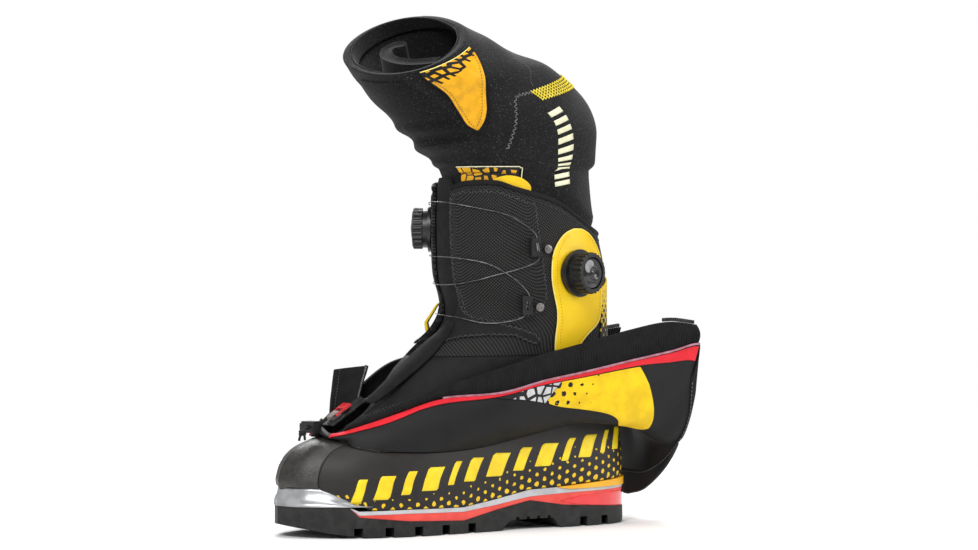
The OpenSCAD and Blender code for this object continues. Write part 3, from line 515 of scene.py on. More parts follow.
def stones(name, gap, stone, cell, rough=0.55, also=None, spec=0.3):
    """Flat irregular stones with dark gaps; the pattern's z is the gap's half width in mm."""
    m, nt, b = nodes_of(name, rough, spec=spec)
    v = coord(nt, True, (1, 1, 0))
    raw = coord(nt, True, (1, 1, 1))
    sep = nt.nodes.new("ShaderNodeSeparateXYZ")
    nt.links.new(raw, sep.inputs[0])
    vo = tex(nt, "Voronoi", v, 1 / cell, Randomness=0.55)
    vo.feature, vo.voronoi_dimensions = "DISTANCE_TO_EDGE", "2D"
    e = math_(nt, "MULTIPLY_ADD", vo.outputs["Distance"], cell, math_(nt, "MULTIPLY", sep.outputs[2], -1.0))
    on = band(nt, e, -0.15, 0.15)
    big = tex(nt, "Noise", coord(nt, False, (1, 1, 1)), 0.15, Detail=4.0).outputs["Fac"]
    c = mix(nt, band(nt, big, 0.35, 0.7), stone, tuple(x * 0.8 for x in stone))
    nt.links.new(mix(nt, on, gap, c), b.inputs["Base Color"])
    bump(nt, b, on, 0.4, 0.25)
    return m


# base colours are linear; each material wanders between its two
M = {
    "outsole": plain("outsole_rubber", (0.008, 0.008, 0.008), (0.018, 0.0175, 0.017), 0.6, spec=0.35),
    "midsole": plain("midsole_foam", (0.72, 0.05, 0.038), (0.8, 0.075, 0.055), 0.5, size=14),
    "insert": plain("heel_insert_gloss", (0.72, 0.008, 0.012), (0.8, 0.016, 0.02), 0.16, size=20, coat=0.6,
                    depth=0.03),
    "grey": plain("grey_band", (0.42, 0.42, 0.44), (0.52, 0.52, 0.54), 0.4, size=16),
    "silver": plain("toe_welt_silver", (0.3, 0.305, 0.315), (0.42, 0.425, 0.435), 0.3, size=12, metal=0.35,
                    depth=0.08),
    "yellow": plain("yellow_welt", (0.82, 0.38, 0.006), (0.88, 0.46, 0.01), 0.4, size=16),
    "print": plain("yellow_print", (0.88, 0.66, 0.004), (0.8, 0.56, 0.004), 0.5, size=10, grain=0.8,
                   depth=0.1),
    "rand": lattice("rand_rubber", (0.0145, 0.0125, 0.011), (0.86, 0.55, 0.01), 14.5, 7.6, rough=0.52,
                    wob=1.0, grain=0.8, depth=0.3, spec=0.35),
    "toe": plain("toe_rubber", (0.017, 0.0155, 0.0135), (0.03, 0.0275, 0.024), 0.46, size=4, grain=1.3,
                 depth=0.9, spec=0.5),
    "shell": cloth("shell_fabric", (0.0035, 0.0035, 0.0038), (0.010, 0.010, 0.0105), 0.62, 1.0, sheen=0.02),
    "mesh": meshweave("mesh_fabric", (0.0025, 0.0025, 0.0025), (0.048, 0.046, 0.045)),
    "trim": cloth("trim_fabric", (0.0035, 0.0035, 0.004), (0.011, 0.011, 0.012), 0.65, 0.7, sheen=0.02),
    "plate": plain("plate_yellow", (0.9, 0.6, 0.006), (0.86, 0.55, 0.005), 0.42, size=18,
                   depth=0.08, spec=0.3),
    "cream": plain("plate_edge_pale", (0.86, 0.68, 0.12), (0.9, 0.76, 0.25), 0.5),
    "dial": plain("dial_plastic", (0.008, 0.008, 0.008), (0.014, 0.014, 0.014), 0.36, depth=0.06),
    "gloss": plain("dial_gloss", (0.006, 0.006, 0.006), (0.01, 0.01, 0.011), 0.2, coat=0.4, depth=0.03),
    "steel": plain("steel_wire", (0.1, 0.1, 0.1), (0.26, 0.26, 0.26), 0.42, metal=1.0),
    "rivet": plain("rivet_steel", (0.2, 0.19, 0.18), (0.3, 0.29, 0.28), 0.4, metal=1.0),
    "webbing": cloth("webbing_black", (0.003, 0.003, 0.003), (0.012, 0.012, 0.012), 0.8, 0.9, depth=0.4,
                     sheen=0.02),
    "webyellow": cloth("webbing_yellow", (0.78, 0.5, 0.01), (0.9, 0.64, 0.02), 0.7, 1.0),
    "gaiter": cloth("gaiter_fabric", (0.004, 0.004, 0.0043), (0.0085, 0.0085, 0.009), 0.55, 0.7, depth=0.12,
                    mottle=14, spec=0.25, sheen=0.01),
    "inner": cloth("gaiter_inner", (0.006, 0.006, 0.007), (0.015, 0.015, 0.017), 0.8, 0.8),
    "ribbed": cloth("ribbed_band", (0.003, 0.003, 0.003), (0.011, 0.011, 0.011), 0.85, 0.6, sheen=0.02),
    "red": cloth("lining_red", (0.6, 0.008, 0.018), (0.8, 0.02, 0.035), 0.5, 0.8, mottle=10),
    "zip": plain("zip_plastic", (0.012, 0.012, 0.0125), (0.03, 0.03, 0.032), 0.4),
    "patch": lattice("patch_yellow", (0.74, 0.48, 0.004), (0.012, 0.01, 0.008), 10.6, 14.6, rough=0.55,
                     wob=1.3, grain=1.0, size=12, spec=0.25),
    "pebble": stones("pebble_print", (0.01, 0.01, 0.01), (0.58, 0.58, 0.59), 8.5),
    "cord": cloth("cord_black", (0.006, 0.006, 0.006), (0.02, 0.02, 0.02), 0.8, 0.6),
    "liner": heather("liner_fabric", (0.005, 0.005, 0.0055), (0.0135, 0.0135, 0.0145), (0.075, 0.075, 0.08)),
    "loop": heather("loop_fabric", (0.002, 0.002, 0.0022), (0.006, 0.006, 0.0065), (0.05, 0.05, 0.052),
                    size=1.6),
    "strap": stones("strap_yellow", (0.006, 0.005, 0.005), (0.86, 0.42, 0.006), 6.2, rough=0.5),
    "strapblk": stones("strap_pebbled", (0.012, 0.011, 0.012), (0.82, 0.42, 0.01), 6.0, rough=0.6),
    "strapend": plain("strap_end_yellow", (0.9, 0.6, 0.006), (0.84, 0.52, 0.005), 0.45, size=9, depth=0.12),
    "rear": lattice("rear_strip_print", (0.75, 0.5, 0.006), (0.01, 0.009, 0.008), 7.0, 8.0, rough=0.5,
                    wob=1.0),
    "grey_thread": plain("grey_thread", (0.11, 0.11, 0.115), (0.2, 0.2, 0.21), 0.8, size=3),
    "dark_thread": plain("dark_thread", (0.03, 0.03, 0.032), (0.07, 0.07, 0.074), 0.8, size=3),
    "yellow_thread": plain("yellow_thread", (0.7, 0.55, 0.03), (0.85, 0.7, 0.08), 0.8, size=3),
    "tooth": plain("zip_tooth", (0.25, 0.25, 0.26), (0.42, 0.42, 0.43), 0.35),
    "stitchy": plain("amber_thread", (0.5, 0.3, 0.004), (0.62, 0.38, 0.006), 0.8, size=3),
    "pale": plain("pale_print", (0.78, 0.76, 0.5), (0.86, 0.84, 0.6), 0.6, size=6),
    "tape": plain("reflective_tape", (0.3, 0.1, 0.14), (0.42, 0.2, 0.26), 0.35),
    "redpull": plain("pull_red", (0.55, 0.012, 0.02), (0.66, 0.03, 0.04), 0.38, size=4),
}


def keep(node, material, bevel=0.4):
    """A CAD node that stays: material, smooth shading and softened edges."""
    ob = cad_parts[node]
    ob.data.materials.clear()
    ob.data.materials.append(M[material])
    ob.modifiers.new("weld", "WELD").merge_threshold = 0.00002
    if bevel:
        b = ob.modifiers.new("edge", "BEVEL")
        b.width, b.segments, b.limit_method, b.angle_limit = bevel / 1000, 2, "ANGLE", math.radians(32)
        b.harden_normals = False
    ob.data.polygons.foreach_set("use_smooth", [True] * len(ob.data.polygons))
    n = ob.modifiers.new("normals", "WEIGHTED_NORMAL")
    n.keep_sharp = True
    return ob


# ---------------------------------------------------------------- camera, light, floor, cord
cam = bpy.data.objects.new("camera", bpy.data.cameras.new("camera"))
bpy.context.scene.collection.objects.link(cam)
bpy.context.scene.camera = cam
cam.data.lens, cam.data.sensor_width = 98.5, 36
cam.data.clip_end = 20
az, dist, target = math.radians(-30), 2.2, Vector((-0.061, 0, 0.2055))
back = Vector((math.sin(az), -math.cos(az), 0))
cam.location = target + back * dist
cam.rotation_euler = back.to_track_quat("Z", "Y").to_euler()

cord = tube("drawcord_visual", smooth_line(CORD, 61), 2.4, M["cord"], n=10)
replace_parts(cord, "drawcord")
a, end = lin(0, 4 * pi, 50), CORD[-1]
coil = end + stack([2.1 * cos(a), 2.1 * sin(a) * 0.8, 1.3 * sin(1.5 * a)], -1)
tails = ([-2.5, -1, -2.5], [-3.6, -1.2, -6]), ([0.2, -3, -2], [-0.4, -5.2, -5])
knot = [tube("drawcord_knot", coil, 2.2, M["cord"])]
for i, (mid, tip) in enumerate(tails):
    knot.append(tube(f"drawcord_tail_{i}", smooth_line([end, end + mid, end + tip], 14), 2.0, M["cord"]))
path = smooth_line(CORD, 61)
length = float(steps(path).sum() / 1000)

fl = bpy.data.meshes.new("floor")
floor_r, n = 0.85, 95
fl.from_pydata([(-0.08 + floor_r * math.cos(a), floor_r * math.sin(a), -0.0005)
                for a in 2 * pi * np.arange(n) / n], [], [tuple(range(n))])
floor = bpy.data.objects.new("floor", fl)
bpy.context.scene.collection.objects.link(floor)
fm, _, fb = nodes_of("floor_pale", 0.9, spec=0.1)
fb.inputs["Base Color"].default_value = (0.93, 0.93, 0.93, 1)
fl.materials.append(fm)
world = bpy.data.worlds.new("studio")
bpy.context.scene.world = world
world.use_nodes = True
bg = world.node_tree.nodes["Background"]
bg.inputs[0].default_value = (1, 1, 1, 1)
seen = world.node_tree.nodes.new("ShaderNodeLightPath")
lift = world.node_tree.nodes.new("ShaderNodeMapRange")
lift.inputs["To Min"].default_value, lift.inputs["To Max"].default_value = 0.42, 1.0
world.node_tree.links.new(seen.outputs["Is Camera Ray"], lift.inputs["Value"])
world.node_tree.links.new(lift.outputs["Result"], bg.inputs[1])
bpy.context.scene.view_settings.view_transform = "Standard"


def area(name, loc, aim, size, power):
    d = bpy.data.lights.new(name, "AREA")
    d.shape, d.size, d.energy = "DISK", size, power
    o = bpy.data.objects.new(name, d)
    bpy.context.scene.collection.objects.link(o)
    o.location = loc
    o.rotation_euler = (Vector(aim) - Vector(loc)).to_track_quat("-Z", "Y").to_euler()


area("key", (-1.5, -1.3, 1.5), (-0.06, 0, 0.2), 0.8, 34)
area("fill", (1.5, -1.2, 0.8), (-0.06, 0, 0.2), 1.0, 14)
area("rim", (0.4, 1.6, 1.6), (-0.06, 0, 0.25), 0.9, 30)
area("top", (-0.1, -0.2, 2.2), (-0.06, 0, 0.1), 1.0, 16)

# ---------------------------------------------------------------- sole unit, kept from CAD
for n, m, b in (("outsole", "outsole", 0.7), ("midsole", "midsole", 0.5), ("heel_insert", "insert", 0.5),
                ("sole_band", "grey", 0.4), ("heel_welt", "yellow", 0.6),
                ("shank", "dial", 0), ("lasting_board", "webbing", 0), ("footbed", "inner", 0.3)):
    keep(n, m, b)
# lower edge of the rand: height over the place along the boot
LOW = T("""-260 39.3, -253 39.3, -232 38.3, -222 33.6, -212 28.6, -203 24.6, -196 21.4, -165 21.4,
-113 20.9, -80 25.9, -48 31.9, -20 33.1, 57 38.4, 70 38.7""")
low = lambda p: np.interp(S(p, 38)[..., 0], LOW[:, 0], LOW[:, 1])
rtop = lambda p: tab(RTOP, fold(p))[..., 1]
cuff = lambda p: tab(CUFF, fold(p))[..., 1]

# silver toe welt: upright edge with a shelf for a crampon
pw = lin(-51, 51, 120)
u = (1 - cosd(pw)) / 2
top = np.interp(-253 + 315 * u, [-253, -249, -240, -232, -222, -212, -203, -196, -190],
                [38.6, 38.4, 39.2, 38.9, 34.2, 29.2, 25.6, 24.6, 24.3])
sec = []
for f, k in ((-0.6, 0), (-0.9, 0.22), (0.4, 0.45), (1.7, 0.62), (2.2, 0.82), (2.7, 0.95), (4, 1), (9, 0.98)):
    yy = np.where(pw >= 0, tab(LAT, u)[:, 1], tab(MED, u)[:, 1]).clip(0) * (55 - f) / 54
    sec.append(stack([-253 + f + u * (315 - 2 * f), -np.sign(pw) * yy, 24.1 + k * (top - 24.1)], -1))
inn = [stack([c[:, 0], c[:, 1], 24.1 + 0 * c[:, 2]], -1) for c in sec]
ob = wall("toe_welt_visual", np.array(sec), np.array(inn), M["silver"], bevel=0)
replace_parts(ob, "toe_welt")

# ---------------------------------------------------------------- rubber rand and toe cap
pr, vr = np.meshgrid(lin(29.1, 330.9, 300), lin(0, 1, 26))
zr = low(pr) + vr * (rtop(pr) - low(pr))
arc = along(S(lin(29.1, 330.9, 300), 40))
reach = 8 + 34 * ease(30, 150, fold(pr)) ** 1.2
size = np.clip(2.3 * (1 - (zr - low(pr)) / reach), -1, 2.4) * ease(33, 40, fold(pr))
crown = 0.5 * sin(pi * vr) ** 0.7
ob = wall("rand_visual", S(pr, zr, -crown), S(pr, zr, 2.4), M["rand"], bevel=0.8,
          pat=stack([np.broadcast_to(arc, pr.shape), zr - low(pr), np.where(size > 0.35, size, -1)], -1))
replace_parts(ob, "rand")
ob = skin("toe_cap_visual", lin(-29, 29, 60), lin(0, 1, 26),
          lambda p: low(p) - 2.6 * (1 - ease(3, 14, np.abs(p))), rtop,
          lambda p, z: -0.3 - 0.7 * (1 - ease(0.6, 1, np.abs(p) / 29))
          - 0.5 * np.exp(-((z - low(p) - 2) / 4) ** 2), 2.4, M["toe"], bevel=1.0)
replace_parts(ob, "toe_cap")


def inset(z):
    return np.where(z < 96, 3, 3 - 2.8 * np.clip((z - 96) / 34, 0, 1))


ob = skin("lower_shell_visual", lin(0, 360, 180, endpoint=False), lin(0, 1, 30), lambda p: low(p) + 0.3,
          lambda p: 140 + 0 * p, lambda p, z: inset(z), lambda p, z: inset(z) + 2.8, M["shell"], ring=True)
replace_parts(ob, "lower_shell")
# slanted bars stand in for the lettering along the rand
co, fc = [], []
wide = np.array([8, 14, 9, 17, 7, 13, 19, 12, 18, 8, 15, 6, 10])
spec = list(zip(-210 + np.cumsum(np.r_[0, wide[:-1] + 8.2]), wide))
pz = np.radians(np.linspace(30, 175, 400))
xs = S(np.degrees(pz), 50)[:, 0]
for x0, w in spec:
    x0 = float(x0)
    base = len(co)
    n, m = 8, 9
    for side in (0, 1):
        for j in range(m):
            for i in range(n):
                a, b = i / (n - 1), j / (m - 1)
                zc = 31 + (x0 + 178) * 0.135
                z = zc + b * 20.5
                x = x0 + a * w + b * 7
                p = float(np.interp(x, xs, np.degrees(pz)))
                edge = min(a, 1 - a) * w / 0.8, min(b, 1 - b) * 20 / 0.8
                o = 0.75 * min(1, max(0.25, min(edge))) if side == 0 else -0.2
                co.append(S(p, z, -o))
    for j in range(m - 1):
        for i in range(n - 1):
            a = base + j * n + i
            fc.append((a, a + 1, a + n + 1, a + n))
            a += n * m
            fc.append((a, a + n, a + n + 1, a + 1))
    ring = [j * n for j in range(m)] + [(m - 1) * n + i for i in range(1, n)] + \
           [j * n + n - 1 for j in range(m - 2, -1, -1)] + list(range(n - 2, 0, -1))
    for k in range(len(ring)):
        a, b = base + ring[k], base + ring[(k + 1) % len(ring)]
        fc.append((a, b, b + n * m, a + n * m))
mesh("rand_bars", np.array(co), fc, M["print"])

# ---------------------------------------------------------------- shaft
ob = skin("quarters_visual", lin(15, 345, 200), lin(0, 1, 40), lambda p: 140.3 + 0 * p, cuff, 0.2, 3.0,
          M["mesh"])
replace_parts(ob, "quarters")
ob = skin("tongue_visual", lin(-40, 40, 50), lin(0, 1, 36), lambda p: 144 + 0 * p,
          lambda p: 285 - 18 * ease(10, 22, np.abs(p)), 3.8, 6.6, M["webbing"], bevel=1.0)
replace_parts(ob, "tongue")
ps, q = lin(15, 345, 200), lin(0, 2 * pi, 14, endpoint=False)
pp, qq = np.meshgrid(ps, q)
rim = S(pp, cuff(pp) + 2.2 + 2.3 * sin(qq), 1.1 - 1.9 * cos(qq))
core = S(stack([ps] * 15), stack([cuff(ps) + 2.2] * 15), 1.1)
ob = wall("cuff_trim_visual", cat([rim, rim[:1]]), core, M["trim"], bevel=0)
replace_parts(ob, "cuff_trim")
mlo = lambda p: tab(MLO, fold(p))[..., 1]
mhi = lambda p: tab(MHI, fold(p))[..., 1]
for tag, ps in (("lateral", lin(19, 84, 60)), ("medial", lin(276, 298, 20)),
                ("medial_front", lin(310, 341, 26))):
    ob = skin("mesh_panel_" + tag, ps, lin(0, 1, 40), mlo, mhi, -0.8, -0.05, M["mesh"], bevel=0.3)
    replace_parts(ob, "mesh_panels")
OLO = T("14 149, 35 155.5, 52 157, 70 156.5, 82 151, 90 148")
OHI = T("14 186, 24 175.5, 39 168.5, 57 166.5, 72 162, 84 157, 90 149.5")
for tag, ps in (("lateral", lin(16, 89, 60)), ("medial", lin(271, 344, 60))):
    ob = skin("instep_overlay_" + tag, ps, lin(0, 1, 12), lambda p: np.interp(fold(p), OLO[:, 0], OLO[:, 1]),
              lambda p: np.interp(fold(p), OHI[:, 0], OHI[:, 1]), -1.0, -0.05, M["trim"], bevel=0.4)
    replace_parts(ob, "instep_overlay")
pp, vv = np.meshgrid(lin(138, 222, 70), lin(0, 1, 24))
zz = 150 + vv * (44 + 12 * cos(np.radians((pp - 180) * 2)))
ob = wall("rear_strip_visual", S(pp, zz, -1.2), S(pp, zz, -0.05), M["rear"], bevel=0.4,
          pat=stack([(pp - 180) * 0.75, zz, 3.6 * (1 - vv)], -1))
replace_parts(ob, "rear_strip")
zs, a = lin(143.5, 243, 60), lin(0, 1, 24)
P = tab(PLA, zs)
pp = P[:, 1:2] + a[None] * (P[:, 2:3] - P[:, 1:2])
zz = np.broadcast_to(zs[:, None], pp.shape)
ob = wall("dial_plate_visual", S(pp, zz, -1.7), S(pp, zz, -0.1), M["plate"], bevel=0.7)
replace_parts(ob, "dial_plate_lateral")
edge = cat([np.c_[P[:, 1], zs], np.c_[P[::-1, 2], zs[::-1]]])
tube("plate_edge_piping", resample(S(edge[:, 0], edge[:, 1], -1.2), 2.0), 1.2, M["cream"], n=8)
ins = cat([np.c_[P[4:-3, 1] + 3.2, zs[4:-3]], np.c_[P[-4:3:-1, 2] - 3.2, zs[-4:3:-1]]])
stitches("plate_stitches", [line(SO, ins[:, 0], ins[:, 1], 1.8)], M["stitchy"], 1.3, 1.3, 0.5)

# ---------------------------------------------------------------- dials, guides, wires
DIAL = {"lateral": ((-6, -51.5, 207), 20), "medial": ((-98, 32, 244), -122)}
# turned profile of the cap: radius and height, and the radii of its rings of points
CAP = T("""0 15.4, 1.8 15.4, 2.2 15, 2.6 15, 3.4 15.6, 4.2 15.6, 4.6 15, 5 15, 5.8 15.9, 6.4 16, 7 15.6,
7.6 15.5, 11.6 14.4, 12.4 13.9, 12.9 13.3""")
CAP_R = np.array([12.9, 12.9, 12.4, 11.6, 10.2, 8.6, 7.6, 7, 6.4, 5.8, 5, 4.6, 4.2, 3.4, 2.6, 2.2, 1.8, 0.9,
                  0.02])
for s, (pos, ang) in DIAL.items():
    for part, m in (("base", "dial"), ("spool", "dial"), ("spindle", "rivet"), ("knob", "dial")):
        keep(f"dial_{part}_{s}", m, 0.35)
    th, rr = np.meshgrid(lin(0, 2 * pi, 96, endpoint=False), CAP_R)
    base = np.interp(rr, CAP[:, 0], CAP[:, 1])
    ridge = 0.45 * cos(4 * th) * np.clip(1 - np.abs(rr - 9) / 4, 0, 1)
    h = base + ridge
    h[0] = 12.76
    loc = stack([rr * cos(th), rr * sin(th), h], -1)
    ca, sa = math.cos(math.radians(ang)), math.sin(math.radians(ang))
    loc = stack([loc[..., 0], -loc[..., 2], loc[..., 1]], -1)
    x, y = loc[..., 0], loc[..., 1]
    loc = stack([ca * x - sa * y, sa * x + ca * y, loc[..., 2]], -1) + pos
    flat = loc.copy()
    n = np.array([sa, -ca, 0])
    flat -= ((loc - pos) @ n)[..., None] * n - 12.7 * n
    ob = wall(f"dial_cap_{s}_visual", loc, flat, M["gloss"], ring=True, body=s + "_knob", bevel=0)
    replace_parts(ob, f"dial_cap_{s}")
keep("lace_guides", "dial", 0.4)
keep("guide_rivets", "rivet", 0.3)
for i, (gp, gz) in enumerate(GUIDE):
    tube(f"guide_pin_{i}", S(gp + 0 * lin(0, 1, 5), gz + lin(-3.6, 3.6, 5), -6.4), 1.5, M["rivet"], n=10)
for n, W in (("lace_wire_upper", WU), ("lace_wire_lower", WM)):
    w = smooth_line(W, 190)
    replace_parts(tube(n + "_visual", S(w[:, 0] % 360, w[:, 1], -w[:, 2]), 0.75, M["steel"], n=8), n)
zs, a = lin(103, 168, 50), lin(0, 1, 16)
P = tab(STR, zs)
pp = P[:, 1:2] + a[None] * (P[:, 2:3] - P[:, 1:2])
zz = np.broadcast_to(zs[:, None], pp.shape)
ob = wall("instep_strap_visual", S(pp, zz, -3.2 + 0.9 * (2 * a - 1) ** 2), S(pp, zz, -1.0), M["webbing"],
          bevel=0.5)
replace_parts(ob, "instep_strap")
ww, tt = np.meshgrid(lin(-1, 1, 8), lin(0, 1, 40))
bulge = 1.2 - 5.4 * sin(pi * tt) ** 0.55
out = lambda o: S(334 + 4.6 * ww, 183 - 25 * tt + 1.5 * sin(9 * tt), bulge - o)
ob = wall("pull_tab_visual", out(1.3), out(0), M["webyellow"], bevel=0.5)
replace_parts(ob, "pull_tab")

# ---------------------------------------------------------------- gaiter
pg = cat([lin(0, 145, 130), lin(146, 214, 90), lin(215.2, 358.8, 128)])
pp, vv = np.meshgrid(pg, lin(0, 1, 30))
gaiter = wall("gaiter_visual", G(pp, vv, 1.0), G(pp, vv, -1.0), M["gaiter"], ring=True)
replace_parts(gaiter, "gaiter")
Q = G(pp, vv, 0.0)
Q = cat([Q, Q[:, :1]], 1) / 1000
cells = norm(np.cross(Q[1:, :-1] - Q[:-1, :-1], Q[:-1, 1:] - Q[:-1, :-1]), axis=-1).sum()
around, tall = steps(Q, 1).sum(1).max(), steps(Q).sum(0).max()


def bandp(B, p, v, o):
    """Ribbed band above the gaiter's edge."""
    a = G0(p, 1 + 0 * p)
    t = tab(B, p)[..., 1:]
    du = G0(p + 0.5, 1 + 0 * p) - G0(p - 0.5, 1 + 0 * p)
    n = np.cross(du, t - a)
    n /= norm(n, axis=-1, keepdims=True)
    l = a + 1.1 * (t - a) / norm(t - a, axis=-1, keepdims=True)
    y = stack([0 * p, -2.5 * sin(pi * v), 0 * p], -1)
    return l + v[..., None] * (t - l) + y + o[..., None] * n


for tag, B, s in (("lateral", BAND, 1), ("medial", BAND_IN, -1)):
    pb = lin(20, 149, 700)
    arc = along(tab(B, pb)[:, 1:])
    pp, vv = np.meshgrid(pb, lin(-0.09, 1, 15))
    rib = 0.45 * sin(np.broadcast_to(arc, pp.shape) * 2 * pi / 2.6)
    rib = rib * np.clip(np.minimum(vv, 1 - vv) / 0.08, 0, 1)
    hb = 2.1 - 0.8 * (2 * vv - 1) ** 2
    q = np.array([1, s, 1])
    ob = wall("zip_band_" + tag, bandp(B, pp, vv, hb + rib) * q, bandp(B, pp, vv, -hb - rib) * q,
              M["ribbed"], bevel=0.6)
    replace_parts(ob, "zip_band")
    pr = lin(14, 149, 160)
    pp, aa = np.meshgrid(pr, lin(0, 1, 6))
    va = np.interp(pp, RED[:, 0], RED[:, 1])
    vv = va + (0.985 - va) * aa
    ob = wall("zip_lining_" + tag, G(pp * s, vv, 2.1), G(pp * s, vv, 1.1), M["red"], bevel=0.4)
    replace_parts(ob, "zip_lining")
    e = G(lin(60, 149, 120) * s, 0.995, 2.0)
    tube("zip_piping_" + tag, e, 1.9, M["tape"], n=8)
keep("zip_teeth", "zip", 0.3)
pp, aa = np.meshgrid(lin(97.5, 148, 90), lin(0, 1, 24))
va, vb = tab(PVA, pp)[..., 1], np.interp(pp, PVB[:, 0], PVB[:, 1])
vv = va + (vb - va) * aa
Q = G(pp, vv, 2.0)
s0 = Q[..., 0] - Q[0, 0, 0]
rad = np.clip(3.1 * (1 - (s0 + 0.55 * (Q[12:13, :, 2] - Q[..., 2])) / 52), -1, 3.1)
ob = wall("side_patch_visual", Q, G(pp, vv, 1.1), M["patch"], bevel=0.4,
          pat=stack([s0, Q[..., 2], np.where(rad > 0.3, rad, -1)], -1))
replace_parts(ob, "side_patch")
pp, aa = np.meshgrid(lin(76, 97.2, 60), lin(0, 1, 14))
va = 0.925 - (pp - 76) * 0.0106
vv = va + (0.935 - va) * aa
Q = G(pp, vv, 2.0)
ob = wall("pebble_panel_visual", Q, G(pp, vv, 1.1), M["pebble"], bevel=0.3,
          pat=stack([Q[..., 0] * 1.1, Q[..., 2], 0.7 + 1.6 * (97.2 - pp) / 19], -1))
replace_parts(ob, "pebble_panel")
pp, aa = np.meshgrid(lin(151, 209, 120), lin(0, 1, 8))
vv = 0.84 + 0.155 * aa
ob = wall("hem_binding_visual", G(pp, vv, 2.6 - 1.2 * (2 * aa - 1) ** 4), G(pp, vv, 1.1), M["trim"],
          bevel=0.5)
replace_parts(ob, "hem_binding")

# toe: standing zip end, chain, slider, pull
bow = smooth_line([[-188, 12, 95], [-186, 12, 104], [-183, 13, 116], [-179, 14, 131]], 30)
a = lin(-1, 1, 14)
aa, jj = np.meshgrid(a, lin(0, 12, 30))
off = lambda k: stack([(9 + 0.3 * jj) * aa, k - 5 * aa - 2 * aa * aa, 2 * aa + 0.9 * sin(jj) * aa], -1)
ob = wall("toe_zip_flap_visual", bow[:, None] + off(4), bow[:, None] + off(7.3), M["webbing"], bevel=0.9)
edge = bow + [0, 4 - 4.3 - 1.5, 1.7]
edge[:, 0] += (9 + 0.3 * lin(0, 12, 30)) * 0.86
to_front = np.tile([-0.4, -0.9, 0], (30, 1))
tube("flap_coil", edge + [-0.4, -0.9, 0], 2.4, M["zip"], n=8)
stitches("flap_teeth", [(edge + [-0.9, -2.1, 0], to_front)], M["tooth"], 0.9, 0.8, 1.0)
stitches("flap_seams", [((bow[:, None] + off(4))[:, 2] + [0, -0.3, 0], to_front)], M["dark_thread"],
         1.6, 0.9, 0.7)
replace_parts(ob, "toe_zip_flap")
keep("toe_zip_chain", "zip", 0.3)
keep("zip_slider", "rivet", 0.5)
keep("zip_pull", "redpull", 0.6)
keep("cord_lock_body", "dial", 0.8)
keep("cord_lock_button", "dial", 0.6)

# ---------------------------------------------------------------- liner
def linset(p, z):
    c = cuff(p)
    a = fold(p)
    return 7.4 - 3.6 * ease(92, 112, a) * ease(120, 150, z) - 3.2 * ease(100, 125, a) * ease(c + 6, c + 16, z)


def rings(f, nz=60, nt=60, nu=140):
    p = lin(0, 360, nu, endpoint=False)
    rows = []
    a = low(p) + 11
    for v in lin(0, 1, nz):
        z = a + (286 - a) * v
        rows.append(S(p, z, linset(p, z) + f))
    for t in lin(0.25, 7, nt):
        rows.append(L(p, t + 0 * p, f))
    return np.array(rows)


ob = wall("liner_visual", rings(0), rings(7), M["liner"], ring=True, bevel=2.5)
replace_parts(ob, "liner")
keep("liner_sole", "inner", 0.4)
pp = np.broadcast_to(lin(0, 360, 140, endpoint=False), (8, 140))
tt = np.broadcast_to(lin(6.45, 7.0, 8)[:, None], (8, 140))
ob = wall("liner_lining_visual", L(pp, tt, 9.2), L(pp, tt, 7.2), M["loop"], ring=True, bevel=0.8)
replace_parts(ob, "liner_lining_roll")
ts = lin(2.6, 6.8, 60)
U = tab(UST, ts)
a = lin(0, 1, 24)
pp = U[:, 1:2] + a[None] * (U[:, 2:3] - U[:, 1:2])
tt = np.broadcast_to(ts[:, None], pp.shape)
ob = wall("liner_strap_upper_visual", L(pp, tt, -2.6), L(pp, tt, -0.8), M["webbing"], body="upper_strap",
          bevel=0.6)
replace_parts(ob, "liner_strap_upper")
pp2 = (U[:, 1:2] + 1) + a[None] * (U[:, 2:3] - U[:, 1:2] - 2)
Q = L(pp2, tt, -3.8)
edge_t = 5.55 + 1.0 * (pp2 - 66) / 62
gap = np.where(tt < edge_t, -5, 0.9 + 0.8 * np.clip((tt - edge_t) / 1.2, 0, 1))
ob = wall("liner_strap_patch_visual", Q, L(pp2, tt, -2.7), M["strap"], body="upper_strap", bevel=0.6,
          pat=stack([(pp2 - 66) * 0.8, tt * 12, gap], -1))
tube("liner_strap_edge_front", resample(L(pp2[:, 0], ts, -3.4), 2.0), 1.1, M["trim"], body="upper_strap")
tube("liner_strap_edge_rear", resample(L(pp2[:, -1], ts, -3.4), 2.0), 1.1, M["trim"], body="upper_strap")
tube("liner_strap_edge_top", resample(L(pp2[-1], ts[-1], -3.4), 2.0), 1.0, M["cream"], body="upper_strap")
rows = [line(LO, pp2[3:-2, k] + inset_p, ts[3:-2], 3.9) for k, inset_p in ((-1, -3.0), (0, 2.5))]
stitches("liner_strap_stitches", rows, M["dark_thread"], 1.6, 1.0, 0.5, body="upper_strap")
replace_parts(ob, "liner_strap_patch")
pp, tt = np.meshgrid(lin(6, 50, 40), lin(2.2, 6.4, 50))
ob = wall("liner_loop_pad_visual", L(pp, tt, -1.4), L(pp, tt, -0.3), M["loop"], bevel=0.5)
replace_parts(ob, "liner_loop_pad")


def lowerp(p, j, o):
    """Lower strap: row j, the first three below the bend and the others above it, offset o."""
    if j < 4:
        return S(p, 268.5 + j * 17.5 / 3, 7.4 - o)
    u = (j - 3) / 4
    return (1 - u) * S(p, 286, 7.4 - o) + u * L(p, 7 / 11, -o)


